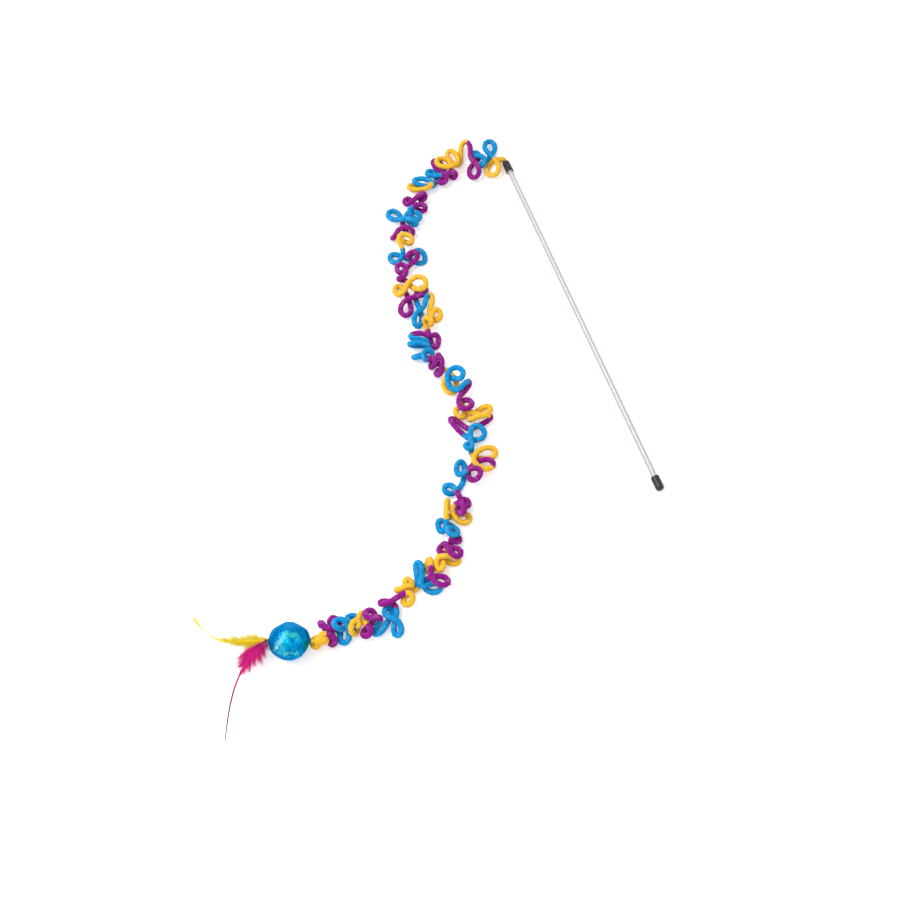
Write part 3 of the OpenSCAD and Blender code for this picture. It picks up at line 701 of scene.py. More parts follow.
def feather_material(name, main, depth, pale, bare):
    """Dyed barbs: deeper in colour by the root, from painted shade in the fluff and from deeper tufts, and
    paler at their ends with painted light shining through them, with the dye gone towards the tip of the
    shaft."""
    shader = new_shader(name)
    wisp = shader.read("wisp")
    clump = shader.read("clump")
    fine = shader.noise(420, detail=3)
    # lit lifts each barb out of painted shade towards its end, on top of its tuft's own tone and a fine
    # grain
    lit = clump * 0.9 + wisp.over(0.0, 0.4) * 0.25 + fine.over(0.3, 0.8) * 0.1
    colour = shader.mix(lit, depth, main)
    # Painted light shining through the barbs' thin ends pales them
    colour = shader.mix(wisp.over(0.5, 1.0) * 0.4, colour, pale)
    colour = shader.mix(shader.read("fade"), colour, bare)
    return shader.finish(
        Base_Color=colour, Roughness=0.7, Sheen_Weight=0.1, Specular_IOR_Level=0.12,
        Normal=shader.bump(fine, 0.2, 0.0002))


def thread_material(settings):
    """Waxed thread with a fine twist."""
    shader = new_shader("thread")
    twist = shader.noise(2600, detail=1, stretch=(0.4, 1, 1))
    colour = shader.mix(twist.over(0.35, 0.65), settings.thread, screen(44, 28, 52))
    return shader.finish(Base_Color=colour, Roughness=0.55, Normal=shader.bump(twist, 0.5, 0.0002))


def rod_material(settings):
    """Clear extruded plastic, a little scuffed: a painted highlight runs along it as a bright line, and
    painted shade lies along its darker side.
    """
    shader = new_shader("clear_rod")
    across = shader.add("SeparateXYZ", None, {"Vector": shader.place()}, out="X")
    side = across * (0.5 / (ROD_R * MM)) + 0.5
    edge = screen(192, 184, 190)
    pale = screen(216, 210, 212)
    # Painted light across the rod, by its X: painted shade at one edge, the painted highlight's bright
    # line, painted shade on the darker side and a paler painted band at the far edge
    stops = (
        (0.0, edge), (0.20, edge), (0.33, settings.bright), (0.42, settings.bright),
        (0.54, settings.painted_side_shade), (0.70, settings.painted_side_shade), (0.84, pale), (1.0, pale))
    bands = shader.add("ValToRGB", {"stops": stops}, {"Fac": side})
    scuff = shader.noise(300, detail=4, stretch=(1, 0.01, 1))
    colour = shader.mix(scuff.over(0.45, 0.75) * 0.15, bands, settings.bright)
    return shader.finish(
        Base_Color=colour, Roughness=0.12 + scuff * 0.15, IOR=1.49, Alpha=0.7, Coat_Weight=0.4,
        Coat_Roughness=0.08)


def cap_material(settings):
    """Soft moulded vinyl, satin, with a fine even grain and small rubbed patches."""
    shader = new_shader("black_cap")
    grain = shader.noise(1500, detail=3, roughness=0.6)
    rub = shader.noise(130, detail=4, roughness=0.65)
    colour = shader.mix(rub.over(0.5, 0.75) * 0.5, settings.cap, screen(56, 55, 60))
    return shader.finish(
        Base_Color=colour, Roughness=0.3 + rub * 0.2, Specular_IOR_Level=0.25, Coat_Weight=0.3,
        Coat_Roughness=0.14, Normal=shader.bump(grain, 0.25, 0.0003))


def unit(v):
    """Vectors at length 1."""
    return v / np.maximum(np.linalg.norm(v, axis=-1, keepdims=True), 1e-12)


def on_plan(points):
    """Points of the plan, in millimetres, as points of the frame, in metres."""
    plan = np.array(PLAN)
    return np.asarray(points, float) @ plan[:3, :3].T + plan[:3, 3]


def ways_on_plan(ways):
    """Directions of the plan as directions of the frame."""
    return ways @ np.array(LIE.to_3x3()).T


def rough(points, size, seed=0.0):
    """Smooth noise, about -1 to 1, at each point."""
    return np.array([noise.noise(Vector(p) / size + Vector((seed, seed, seed))) for p in points])


class Form:
    """Points, faces in groups of one number of corners, a place on the map for each corner, and values
    for the points. Several forms make one piece."""

    def __init__(self, points, groups, **values):
        self.points = np.asarray(points, float).reshape(-1, 3)
        self.groups = [(np.asarray(faces), np.asarray(uv, float)) for faces, uv in groups]
        self.values = values

    def joined(self, other, share):
        """This form and another one, which get the lower and the upper part of the map."""
        start = len(self.points)
        low = [(faces, uv * (1, share)) for faces, uv in self.groups]
        high = [(faces + start, uv * (1, 1 - share) + (0, share)) for faces, uv in other.groups]
        values = {name: np.concatenate([self.values[name], other.values[name]]) for name in self.values}
        return Form(np.vstack([self.points, other.points]), low + high, **values)

    def piece(self, name, material, body, slot, *replaced):
        """Makes the piece, which rides on a body and stands for the nodes that it replaces."""
        faces, corners = [], []
        for group, uv in self.groups:
            faces.extend(group.tolist())
            corners.append(uv.reshape(-1, 2))
        mesh = bpy.data.meshes.new(name)
        mesh.from_pydata(self.points.tolist(), [], faces)
        uv_map = mesh.uv_layers.new(name="OFBake")
        uv_map.data.foreach_set("uv", np.vstack(corners).astype(np.float32).ravel())
        for label, values in self.values.items():
            values = np.asarray(values, np.float32)
            if values.ndim == 2:
                attribute = mesh.attributes.new(label, "FLOAT_COLOR", "POINT")
                full = np.ones((len(values), 4), np.float32)
                full[:, :3] = values
                attribute.data.foreach_set("color", full.ravel())
            else:
                attribute = mesh.attributes.new(label, "FLOAT", "POINT")
                attribute.data.foreach_set("value", values)
        piece = bpy.data.objects.new(name, mesh)
        bpy.context.scene.collection.objects.link(piece)
        mesh.materials.append(material)
        mesh.shade_smooth()
        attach(piece, body)
        if replaced:
            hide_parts(*replaced)
        return piece


def spline(points, steps):
    """The smooth curve that a run of points pulls, with so many steps to each stretch."""
    t = np.arange(steps) / steps
    weights = np.stack([
        (1 - t) ** 3, 3 * t**3 - 6 * t**2 + 4, -3 * t**3 + 3 * t**2 + 3 * t + 1, t**3]) / 6
    runs = np.stack([points[k:len(points) - 3 + k] for k in range(4)])
    return np.einsum("ks,kic->isc", weights, runs).reshape(-1, points.shape[1])


def respaced(line, step):
    """The line again, with its points about step apart."""
    run = np.concatenate([[0], np.cumsum(np.linalg.norm(np.diff(line[:, :3], axis=0), axis=1))])
    at = np.linspace(0, run[-1], max(2, round(run[-1] / step) + 1))
    return np.stack([np.interp(at, run, column) for column in line.T], axis=1)


def spokes(line):
    """Direction of a line at each point, and two spokes square to it that are carried without twist."""
    ahead = unit(np.gradient(line, axis=0))
    first = np.cross(ahead[0], (0, 0, 1))
    if np.linalg.norm(first) < STEEP:
        first = np.cross(ahead[0], (1, 0, 0))
    spoke = np.empty_like(line)
    spoke[0] = unit(first)
    for i in range(1, len(line)):
        spoke[i] = unit(spoke[i - 1] - ahead[i] * (spoke[i - 1] @ ahead[i]))
    return ahead, spoke, np.cross(ahead, spoke)


def rings_round(line, radius, sides, twist=0.0):
    """Rings of points round a line and the way out at each. The inside of a tight bend is drawn in."""
    ahead, spoke, other = spokes(line)
    angles = 2 * math.pi * np.arange(sides)[None, :] / sides + twist * np.arange(len(line))[:, None]
    ways = spoke[:, None] * np.cos(angles)[..., None] + other[:, None] * np.sin(angles)[..., None]
    step = np.maximum(np.linalg.norm(np.gradient(line, axis=0), axis=1), 1e-9)
    bend = (np.gradient(ahead, axis=0) / step[:, None])[:, None]
    toward = np.maximum((ways * bend).sum(-1), 1e-6)
    reach = np.minimum(np.broadcast_to(np.asarray(radius), (len(line),))[:, None], BEND_KEEP / toward)
    return line[:, None] + ways * reach[..., None], ways


def map_place(ring, side, rings, sides):
    """Where a corner of a long tube lies on its map. The tube is cut in rows that lie side by side."""
    in_row = math.ceil((rings - 1) / MAP_ROWS)
    base = ring[..., :1] // in_row
    u = (ring - base * in_row) / in_row
    v = (base + 0.05 + 0.9 * side / sides) / (MAP_ROWS + 1)
    return np.stack([0.01 + 0.98 * u, v + 0 * u], axis=-1)


def tube(line, radius, sides, tuft=0.0, twist=0.0, low=None, lumps=0.0, seed=1):
    """A closed tube round a line. With a tuft height, each face is raised to a tuft in its middle."""
    rings, ways = rings_round(line, radius, sides, twist)
    count = len(line)
    feet, outs = rings.reshape(-1, 3), ways.reshape(-1, 3)
    if lumps:
        feet = feet + outs * (lumps * rough(feet, LUMP_SIZE))[:, None]
    index = np.arange(count * sides).reshape(count, sides)
    after = np.roll(index, -1, axis=1)
    quads = np.stack([index[:-1], after[:-1], after[1:], index[1:]], axis=-1).reshape(-1, 4)
    ring, side = np.meshgrid(np.arange(count - 1.0), np.arange(sides * 1.0), indexing="ij")
    ring, side = ring.reshape(-1, 1), side.reshape(-1, 1)
    first, last = count * sides, count * sides + 1
    radii = np.linalg.norm(rings[[0, -1], 0] - line[[0, -1]], axis=1)
    ends = [
        line[0] - unit(line[1] - line[0]) * radii[0] * END_DOME,
        line[-1] + unit(line[-1] - line[-2]) * radii[1] * END_DOME]
    caps = np.vstack([
        np.stack([np.full(sides, first), after[0], index[0]], axis=1),
        np.stack([np.full(sides, last), index[-1], after[-1]], axis=1)])
    round_map = 2 * math.pi * (np.arange(sides)[:, None] + (0, 0, 1)) / sides
    disc = np.stack([np.cos(round_map), np.sin(round_map)], axis=-1) * np.array([0, 1, 1])[None, :, None]
    flip = disc[:, [0, 2, 1]]
    high = (MAP_ROWS + 0.5) / (MAP_ROWS + 1)
    cap_uv = np.vstack([flip * 0.02 + (0.03, high), disc * 0.02 + (0.09, high)])
    if not tuft:
        uv = map_place(ring + (0, 0, 1, 1), side + (0, 1, 1, 0), count, sides)
        return Form(np.vstack([feet, ends]), [(quads, uv), (caps, cap_uv)])
    rng = np.random.default_rng(seed)
    out = unit(outs[quads].mean(axis=1))
    tips = feet[quads].mean(axis=1) + out * tuft * rng.uniform(*TUFT_RANGE, (len(quads), 1))
    tips += rng.normal(0, TUFT_STRAY * tuft, tips.shape)
    peak = len(feet) + 2 + np.arange(len(quads))
    triangles, uvs = [], []
    corners = ((0, 0), (0, 1), (1, 1), (1, 0))
    for k in range(4):
        n = (k + 1) % 4
        triangles.append(np.stack([quads[:, k], quads[:, n], peak], axis=1))
        ring_to, side_to = zip(corners[k], corners[n], (0.5, 0.5))
        uvs.append(map_place(ring + ring_to, side + side_to, count, sides))
    points = np.vstack([feet, ends, tips])
    if low is not None:
        points[:, 2] = np.maximum(points[:, 2], low)
    # tip is 0 at the tufts' feet and 1 at their peaks; the pile's material paints shade and highlights by
    # it
    tip = np.concatenate([np.zeros(len(feet) + 2), np.ones(len(tips))])
    rows = np.concatenate([np.repeat(np.arange(count), sides), [0, count - 1], ring[:, 0]]).astype(int)
    return Form(points, [(np.vstack(triangles), np.vstack(uvs)), (caps, cap_uv)], tip=tip, row=rows)


def hairs(lines, half, across, flat=1.0):
    """Thin three-sided hairs along lines of points, each ending in a point. half is the half width at
    each point but the last, and flat is their thickness as a share of their width."""
    count, steps = lines.shape[:2]
    ahead = unit(lines[:, -1] - lines[:, 0])
    side = unit(across - ahead * (across * ahead).sum(-1, keepdims=True))
    up = np.cross(ahead, side)
    corners = np.stack([side, -0.5 * side + 0.87 * flat * up, -0.5 * side - 0.87 * flat * up], axis=1)
    rings = lines[:, :-1, None] + half[..., None, None] * corners[:, None]
    each = (steps - 1) * 3 + 1
    points = np.concatenate([rings.reshape(count, -1, 3), lines[:, -1:]], axis=1)
    grid = math.ceil(math.sqrt(count))
    cells = np.stack([np.arange(count) % grid, np.arange(count) // grid], axis=1)[:, None, None]
    faces, uvs = [], []

    def face(*corners_at):
        faces.append([ring * 3 + corner % 3 for ring, corner, _ in corners_at])
        uvs.append([((corner + shift) / 3, ring / (steps - 1)) for ring, corner, shift in corners_at])

    for c in range(3):
        for i in range(steps - 2):
            face((i, c, 0), (i, c + 1, 0), (i + 1, c + 1, 0))
            face((i, c, 0), (i + 1, c + 1, 0), (i + 1, c, 0))
        faces.append([(steps - 2) * 3 + c, (steps - 2) * 3 + (c + 1) % 3, each - 1])
        low = (steps - 2) / (steps - 1)
        uvs.append([(c / 3, low), ((c + 1) / 3, low), ((c + 0.5) / 3, 1)])
    faces.append([0, 2, 1])
    uvs.append([(0, 0), (2 / 3, 0), (1 / 3, 0)])
    start = each * np.arange(count)[:, None, None]
    all_faces = (start + np.array(faces)).reshape(-1, 3)
    all_uvs = ((cells + 0.05 + 0.9 * np.array(uvs)[None]) / grid).reshape(-1, 3, 2)
    share = np.append(np.repeat(np.arange(steps - 1) / (steps - 1), 3), 1.0)
    return Form(points, [(all_faces, all_uvs)]), np.tile(share, count), each


def turned(profile, sides, middle):
    """A closed form turned about the plan's X axis through middle. The profile is a closed loop of
    distance along the axis and distance from it, or one such loop for each side."""
    profile = np.asarray(profile, float)
    if profile.ndim == 2:
        profile = np.repeat(profile[:, None], sides, axis=1)
    turn = 2 * math.pi * np.arange(sides) / sides
    along, out = profile[..., 0], profile[..., 1]
    points = np.stack([along, out * np.cos(turn), out * np.sin(turn)], axis=-1)
    count = len(profile)
    index = np.arange(count * sides).reshape(count, sides)
    next_ring, next_side = np.roll(index, -1, axis=0), np.roll(index, -1, axis=1)
    quads = np.stack([index, next_ring, np.roll(next_ring, -1, axis=1), next_side], axis=-1).reshape(-1, 4)
    ring, side = np.meshgrid(np.arange(count * 1.0), np.arange(sides * 1.0), indexing="ij")
    u = (ring.reshape(-1, 1) + (0, 1, 1, 0)) / count
    v = (side.reshape(-1, 1) + (0, 0, 1, 1)) / sides
    return on_plan(points.reshape(-1, 3) + tuple(middle)), quads, np.stack([u, v], axis=-1)


def curl_points():
    """The strand's points before it settles, in the plan, and the dye letter of each."""
    roots = np.array([row[:3] for row in CURLS], float)
    points, dyes = list(STRAND_FIRST), [ENDS_DYE] * len(STRAND_FIRST)
    for i, (_, _, _, heading, rise, roll, reach, width, crossed, dye) in enumerate(CURLS):
        h, r, turn = np.radians((heading, rise, roll))
        out = np.array([math.cos(h) * math.cos(r), math.sin(h) * math.cos(r), math.sin(r)])
        flat_side = np.array([-math.sin(h), math.cos(h), 0])
        flat_up = np.cross(out, flat_side)
        side = flat_side * math.cos(turn) + flat_up * math.sin(turn)
        up = flat_up * math.cos(turn) - flat_side * math.sin(turn)
        on_way = side @ (roots[min(i + 1, len(roots) - 1)] - roots[max(i - 1, 0)])
        way = -1 if on_way < 0 else 1
        lift = LEG_LIFT if i % 2 == 0 else -LEG_LIFT
        for k, out_share in enumerate(OUT_SHARES):
            if crossed:
                wide = CROSS_SHARES[k] * width / 2
                high = CROSS_LIFT_SHARES[k] * lift
            else:
                wide = APART_SHARES[k] * width / 2 + ROOT_SHARES[k] * ROOT_GAP
                high = APART_LIFT_SHARES[k] * lift
            points.append(roots[i] + out * out_share * reach + side * way * wide + up * high)
            dyes.append(dye[0] if k < len(OUT_SHARES) / 2 else dye[-1])
    return np.array(points + list(STRAND_LAST), float), dyes + [ENDS_DYE] * len(STRAND_LAST)


def parting(run):
    """How stretches of pile that press on each other push each sample of the run."""
    push = np.zeros_like(run)
    count = np.zeros(len(run))
    for gap in range(BESIDE + 1, NEAR + 1):
        apart = run[gap:] - run[:-gap]
        n = np.linalg.norm(apart, axis=1)
        close = n < PILE_ROOM
        pressed = np.where(close, (PILE_ROOM - n) / np.maximum(n, TINY), 0)[:, None] * apart
        push[gap:] += pressed
        push[:-gap] -= pressed
        count[gap:] += close
        count[:-gap] += close
    return push / np.sqrt(np.maximum(count, 1))[:, None]


def opened(points, apart, room):
    """How points so many places apart push each other where they are nearer than room."""
    away = points[apart:] - points[:-apart]
    n = np.maximum(np.linalg.norm(away, axis=1, keepdims=True), TINY)
    push = np.where(n < room, BEND_SHARE * (room - n) / n, 0) * away
    moves = np.zeros_like(points)
    moves[apart:] += push
    moves[:-apart] -= push
    return moves


def settled(points):
    """The strand's points once its curls have settled on each other."""
    held = len(STRAND_FIRST)
    for _ in range(SETTLE_ROUNDS):
        push = parting(spline(points, 2))
        moves = opened(points, 2, BEND_ROOM) + opened(points, 1, STEP_ROOM)
        inner = np.arange(held, len(points) - held)
        k = 2 * (inner - 1)
        moves[inner] += PART_SHARE * push[k] + MIDDLE_SHARE * (push[k - 1] + push[k + 1])
        fair = -points[inner - 2] + 4 * points[inner - 1] + 4 * points[inner + 1] - points[inner + 2]
        fair /= 6
        moves[inner] += FAIR_SHARE * (fair - points[inner])
        points = points.copy()
        points[inner] += moves[inner]
        points[inner, 2] = np.maximum(points[inner, 2], LOWEST)
    return points


def strand_line(settings):
    """The strand's middle line in the frame, in metres, with the dye at each point."""
    raw, letters = curl_points()
    dyes = {"y": settings.yellow, "b": settings.blue, "p": settings.purple}
    points = settled(raw)
    colours = np.array([list(dyes[letter]) for letter in letters])
    run = spline(points, CURVE_STEPS)
    line = np.hstack([on_plan(run), np.repeat(colours[2:-1], CURVE_STEPS, axis=0)])
    knot = np.concatenate([pivots["lure_swing"], colours[0]])
    last = np.concatenate([on_plan(points[-1]), colours[-1]])
    line = respaced(np.vstack([knot, line, last]), settings.ring_step)
    return line[:, :3], line[:, 3:]


def loose_fibres(line, colours, settings, low):
    """Fibres that stand out of the pile, each a thin spike rooted in it."""
    rng = np.random.default_rng(11)
    count = settings.fibre_count
    ahead, spoke, other = spokes(line)
    ring = rng.integers(1, len(line) - 1, count)
    angle = rng.uniform(0, 2 * math.pi, count)[:, None]
    out = spoke[ring] * np.cos(angle) + other[ring] * np.sin(angle)
    side = np.cross(ahead[ring], out)
    slip = rng.uniform(-0.5, 0.5, (count, 1)) * settings.ring_step
    foot = line[ring] + ahead[ring] * slip + out * settings.radius * FIBRE_ROOT
    lean = out + ahead[ring] * rng.normal(0, FIBRE_LEAN, (count, 1))
    lean = lean + side * rng.normal(0, FIBRE_LEAN, (count, 1))
    reach = settings.tuft + settings.fibre * rng.uniform(FIBRE_LEAST, 1.0, (count, 1))
    lines = np.stack([foot, foot + unit(lean) * reach], axis=1)
    form, share, each = hairs(lines, np.full((count, 1), FIBRE_HALF), ahead[ring])
    form.points[:, 2] = np.maximum(form.points[:, 2], low)
    # Painted shade: the fibres are darker at the root, as deep in the pile, and take the full dye at their
    # ends
    pale = FIBRE_ROOT_UNSHADED + (1 - FIBRE_ROOT_UNSHADED) * share
    form.values = {"dye": np.repeat(colours[ring], each, axis=0), "tip": pale}
    return form


def pile_knot(line, radius, colour, seed, low=None):
    """A knot of pile turned about a line, with the marks of the strand's turns wound into it."""
    form = tube(
        line, radius, KNOT_SIDES, tuft=KNOT_TUFT, twist=KNOT_TWIST, low=low, lumps=KNOT_LUMPS, seed=seed)
    rows = form.values.pop("row")
    form.values["dye"] = np.repeat(np.array([colour]), len(rows), axis=0)
    return form


def camera_ways():
    """Right, up and towards the camera as the ball sees them, in the plan."""
    toward = unit(np.array(PLAN_INVERSE @ Vector(bpy.context.scene.camera.location) - BALL_AT))
    right = unit(np.cross((0, 1, 0), toward))
    return right, np.cross(toward, right), toward


def flats_of_ball(settings):
    """Directions and distances of the ball's flats: those of its outline, and others all round."""
    right, up, _ = camera_ways()
    turn = np.radians([angle for angle, _ in OUTLINE_FLATS])[:, None]
    rng = np.random.default_rng(5)
    others = unit(rng.normal(0, 1, (settings.flats, 3)))
    far = [far for _, far in OUTLINE_FLATS]
    ways = np.vstack([right * np.cos(turn) + up * np.sin(turn), others])
    return ways, np.concatenate([far, rng.uniform(*FLAT_FAR, settings.flats)])


def ball_reach(ways, settings):
    """The film's distance from the middle of the ball, in its radii, in each direction."""
    flat_ways, far = flats_of_ball(settings)
    facing = np.maximum(ways @ flat_ways.T, 0.05)
    pull = (ROUND_REACH ** -FLAT_SHARP) + ((facing / far) ** FLAT_SHARP).sum(axis=-1)
    snug = FILM_SNUG + (1 - FILM_SNUG) * np.clip(-ways[..., 2], 0, 1) ** UNDER_SHARP
    return snug * pull ** (-1 / FLAT_SHARP)


def clouds(points, size, seed, sharp, share):
    """How much of each point lies in a cloud, from 0 to 1."""
    return np.clip(share + sharp * rough(points, size, seed), 0, 1)


def film_colours(ways, settings):
    """The colour of the film in each direction, with painted reflections and shade on the camera's side."""
    right, up, toward = camera_ways()
    flat = ways.reshape(-1, 3)
    across = np.stack([flat @ right, flat @ up], axis=1)
    wander = sum(
        np.stack([rough(flat, size, seed) for seed in seeds], axis=1) * far
        for size, seeds, far in FILM_WANDERS)
    fray = sum(far * rough(flat, size, seed) for size, seed, far in FILM_FRAYS)
    shade = clouds(flat, *DEEP_CLOUDS)[:, None]
    colours = np.array(settings.blue) + (np.array(settings.deep) - settings.blue) * shade
    # A greener painted sheen on the side away from the camera
    seen = flat @ toward
    sheen = clouds(flat, *SHEEN_CLOUDS) * np.clip(SHEEN_FROM - seen, 0, 1) * clouds(flat, *SHEEN_RAGS)
    colours = colours + (np.array(SHEEN) - colours) * sheen[:, None]
    across = across + wander
    for x, y, wide, high, lean, colour in FILM_PAINTED_LIGHT:
        off = np.hypot((across[:, 0] - x - lean * (across[:, 1] - y)) / wide, (across[:, 1] - y) / high)
        share = np.clip((PATCH_END - off + fray) / PATCH_SOFT, 0, 1) * (seen > 0)
        colours = colours + (np.array(colour) - colours) * share[:, None]
    return colours


def lie_axes(length, lie):
    """Directions along and across a feather's plane, and its normal, in the plan."""
    heading, roll = lie[:2]
    dip = math.asin((BALL_R - FEATHER_CLEAR) / length)
    a, r = math.radians(heading), math.radians(roll)
    along = np.array([math.cos(a) * math.cos(dip), math.sin(a) * math.cos(dip), -math.sin(dip)])
    level = np.array([-math.sin(a), math.cos(a), 0])
    up = np.cross(along, level)
    across = level * math.cos(r) + up * math.sin(r)
    return along, across, np.cross(along, across)


def feather_root(lie):
    """Where a feather's shaft leaves the binding, in the plan."""
    side = lie[-1]
    pole = np.array(BALL_AT) - (BALL_R, 0, 0)
    return pole + (-BINDING_OUT - QUILL_LEAD, side * (QUILL_D + QUILL_APART) / 2, 0)


def quill_line(length, lie):
    """A feather's shaft from inside the ball to its tip, in the plan, and the row of its root."""
    along, across, _ = lie_axes(length, lie)
    bow, power = lie[2:4]
    root = feather_root(lie)
    start = np.array([BALL_AT.x - BALL_R + QUILL_DEPTH, root[1], root[2]])
    straight = start + np.linspace(0, 1, QUILL_IN_STEPS)[:, None] * (root - start)
    s = np.linspace(0, 1, QUILL_STEPS)[1:, None]
    bent = root + along * length * s + across * (bow * length * np.sin(math.pi * s**power))
    line = np.vstack([straight, bent])
    line[1:-1] = (line[:-2] + 4 * line[1:-1] + line[2:]) / 6
    return line, len(straight) - 1


class Feather:
    """One feather: a bare shaft with a tuft of fluff by its root and a narrow blade beyond."""

    def __init__(self, name, length, lie, seed):
        self.name = name
        self.length = length / MM
        self.rng = np.random.default_rng(seed)
        self.line, self.root_at = quill_line(self.length, lie)
        self.along, self.across, self.normal = lie_axes(self.length, lie)
        self.root = feather_root(lie)

    def on_shaft(self, s):
        """Places on the shaft, and the ways along and across it, at shares of the feather's length."""
        at = self.root_at + s * (len(self.line) - 1 - self.root_at)
        rows = np.arange(len(self.line))
        place = np.stack([np.interp(at, rows, column) for column in self.line.T], axis=1)
        slope = np.gradient(self.line, axis=0)
        ahead = unit(np.stack([np.interp(at, rows, column) for column in slope.T], axis=1))
        return place, ahead, unit(np.cross(self.normal, ahead))

    def shaft(self):
        """The bare shaft, one closed tube from inside the ball to the tip."""
        share = (np.arange(len(self.line)) - self.root_at) / (len(self.line) - 1 - self.root_at)
        radius = np.interp(share, *self.shaft_radii)
        form = tube(on_plan(self.line), radius * MM, QUILL_SIDES)
        at = np.append(np.repeat(share, QUILL_SIDES), (share[0], share[-1]))
        form.values = {
            "wisp": np.full(len(at), QUILL_WISP), "clump": np.full(len(at), QUILL_CLUMP),
            "fade": self.fade(at)}
        return form

    def fade(self, s):
        """How far the dye has run out at shares of the length."""
        return np.interp(s, *self.fade_stops)

    def grown(self, lines, half, clump, s):
        """Hairs along lines of the plan. They keep off the floor."""
        t = np.linspace(0, 1, lines.shape[1])[None, :-1]
        lines[..., 2] = np.maximum(lines[..., 2], BARB_LOW)
        across = ways_on_plan(np.cross(self.normal, lines[:, 1] - lines[:, 0]))
        widths = half[:, None] * (1 - BARB_TAPER * t) * MM
        placed = on_plan(lines.reshape(-1, 3)).reshape(lines.shape)
        form, share, each = hairs(placed, widths, across, BARB_FLAT)
        form.values = {
            "wisp": share, "clump": np.repeat(clump, each), "fade": np.repeat(self.fade(s), each)}
        return form

    def tuft_parts(self):
        """The parts of the tufts, in rows like the tufts' own, and how long the barbs of each grow."""
        rng = self.rng
        tufts = np.array(self.tufts, float)
        parts = np.repeat(tufts, TUFT_PARTS, axis=0)
        beside = np.repeat(np.vstack([tufts[1:], tufts[-1:]]), TUFT_PARTS, axis=0)
        near = np.hypot(*(beside - parts)[:, :2].T) < NEXT_TUFT
        between = np.tile(np.arange(TUFT_PARTS) // 2 * 0.5, len(tufts)) * near
        parts += (beside - parts) * between[:, None]
        parts[:, :3] += rng.normal(0, 1, (len(parts), 3)) * PART_STRAY
        parts[:, 4] += rng.normal(0, PART_SHADE, len(parts))
        return parts, rng.uniform(*PART_GROWTH, len(parts)) - PART_LOSS * between

    def fluff(self, count):
        """Barbs that lean together in the parts of tufts, and some barbs that go their own way."""
        rng = self.rng
        parts, growth = self.tuft_parts()
        size = parts[:, 3] * np.maximum(np.hypot(parts[:, 0] - parts[:, 2], parts[:, 1]), SHORT_TUFT)
        part = rng.choice(len(parts), count, p=size / size.sum())
        tip_u, tip_v, root_u, _, clump, rise = parts[part].T
        free = rng.random(count) < FREE_SHARE
        spread = rng.normal(0, 1, count) * np.where(free, *ROOT_SPREAD)
        s = np.clip((root_u + spread) / self.length, FLUFF_FROM, 1)
        place, ahead, level = self.on_shaft(s)
        scatter = rng.normal(0, 1, (3, count, 1)) * np.where(free, *TIP_SCATTER)[:, None]
        tip = self.root + self.along * (tip_u + TIP_FOLLOW * spread)[:, None]
        tip = tip + self.across * tip_v[:, None]
        tip = tip + self.normal * (rise[:, None] + scatter[0] * HEIGHT_SCATTER)
        tip = tip + self.along * scatter[1] + self.across * scatter[2]
        least, more = BARB_GROWTH
        grown = growth[part] * (least + more * rng.random(count) ** np.where(free, *LENGTH_POWER))
        run = (tip - place) * grown[:, None]
        reach = np.linalg.norm(run, axis=1, keepdims=True)
        t = np.linspace(0, 1, BARB_POINTS)[None, :, None]
        side = np.sign((run * level).sum(axis=1, keepdims=True))
        bow = level * side * BOW_OUT - ahead * BOW_BACK + self.normal * rng.normal(*BOW_UP, (count, 1))
        bow = bow + level * rng.normal(0, 1, (count, 1)) * np.where(free, *BARB_SWAY)[:, None]
        lines = place[:, None] + run[:, None] * t + (bow * reach)[:, None] * (t - t**2) * 2
        depth = np.clip(clump + BARB_SHADE * rng.normal(0, 1, count), 0, 1)
        half = np.where(free, FREE_HALF, rng.uniform(*CLUMP_HALF, count))
        return self.grown(lines, half, depth, s)

    def blade(self, count):
        """Barbs that lie close along the shaft past the fluff."""
        rng = self.rng
        stops, widths = self.blade_widths
        s = np.sort(rng.uniform(stops[0], stops[-1], count))
        side = np.where(np.arange(count) % 2, 1.0, -1.0)[:, None]
        place, ahead, level = self.on_shaft(s)
        wide = np.interp(s, stops, widths)
        sweep = np.radians(BLADE_SWEEP + rng.normal(0, BLADE_SPREAD, count))[:, None]
        way = level * side * np.cos(sweep) + ahead * np.sin(sweep)
        way = unit(way + self.normal * rng.normal(0, BLADE_LEAN, (count, 1)))
        reach = wide * rng.uniform(*BLADE_LENGTHS, count) / math.cos(math.radians(BLADE_SWEEP))
        t = np.linspace(0, 1, BARB_POINTS)[None, :, None]
        curl = ahead[:, None] * BLADE_CURL * t**2
        lines = place[:, None] + (way[:, None] * t + curl) * reach[:, None, None]
        return self.grown(lines, np.full(count, BLADE_HALF), rng.uniform(*BLADE_SHADES, count), s)


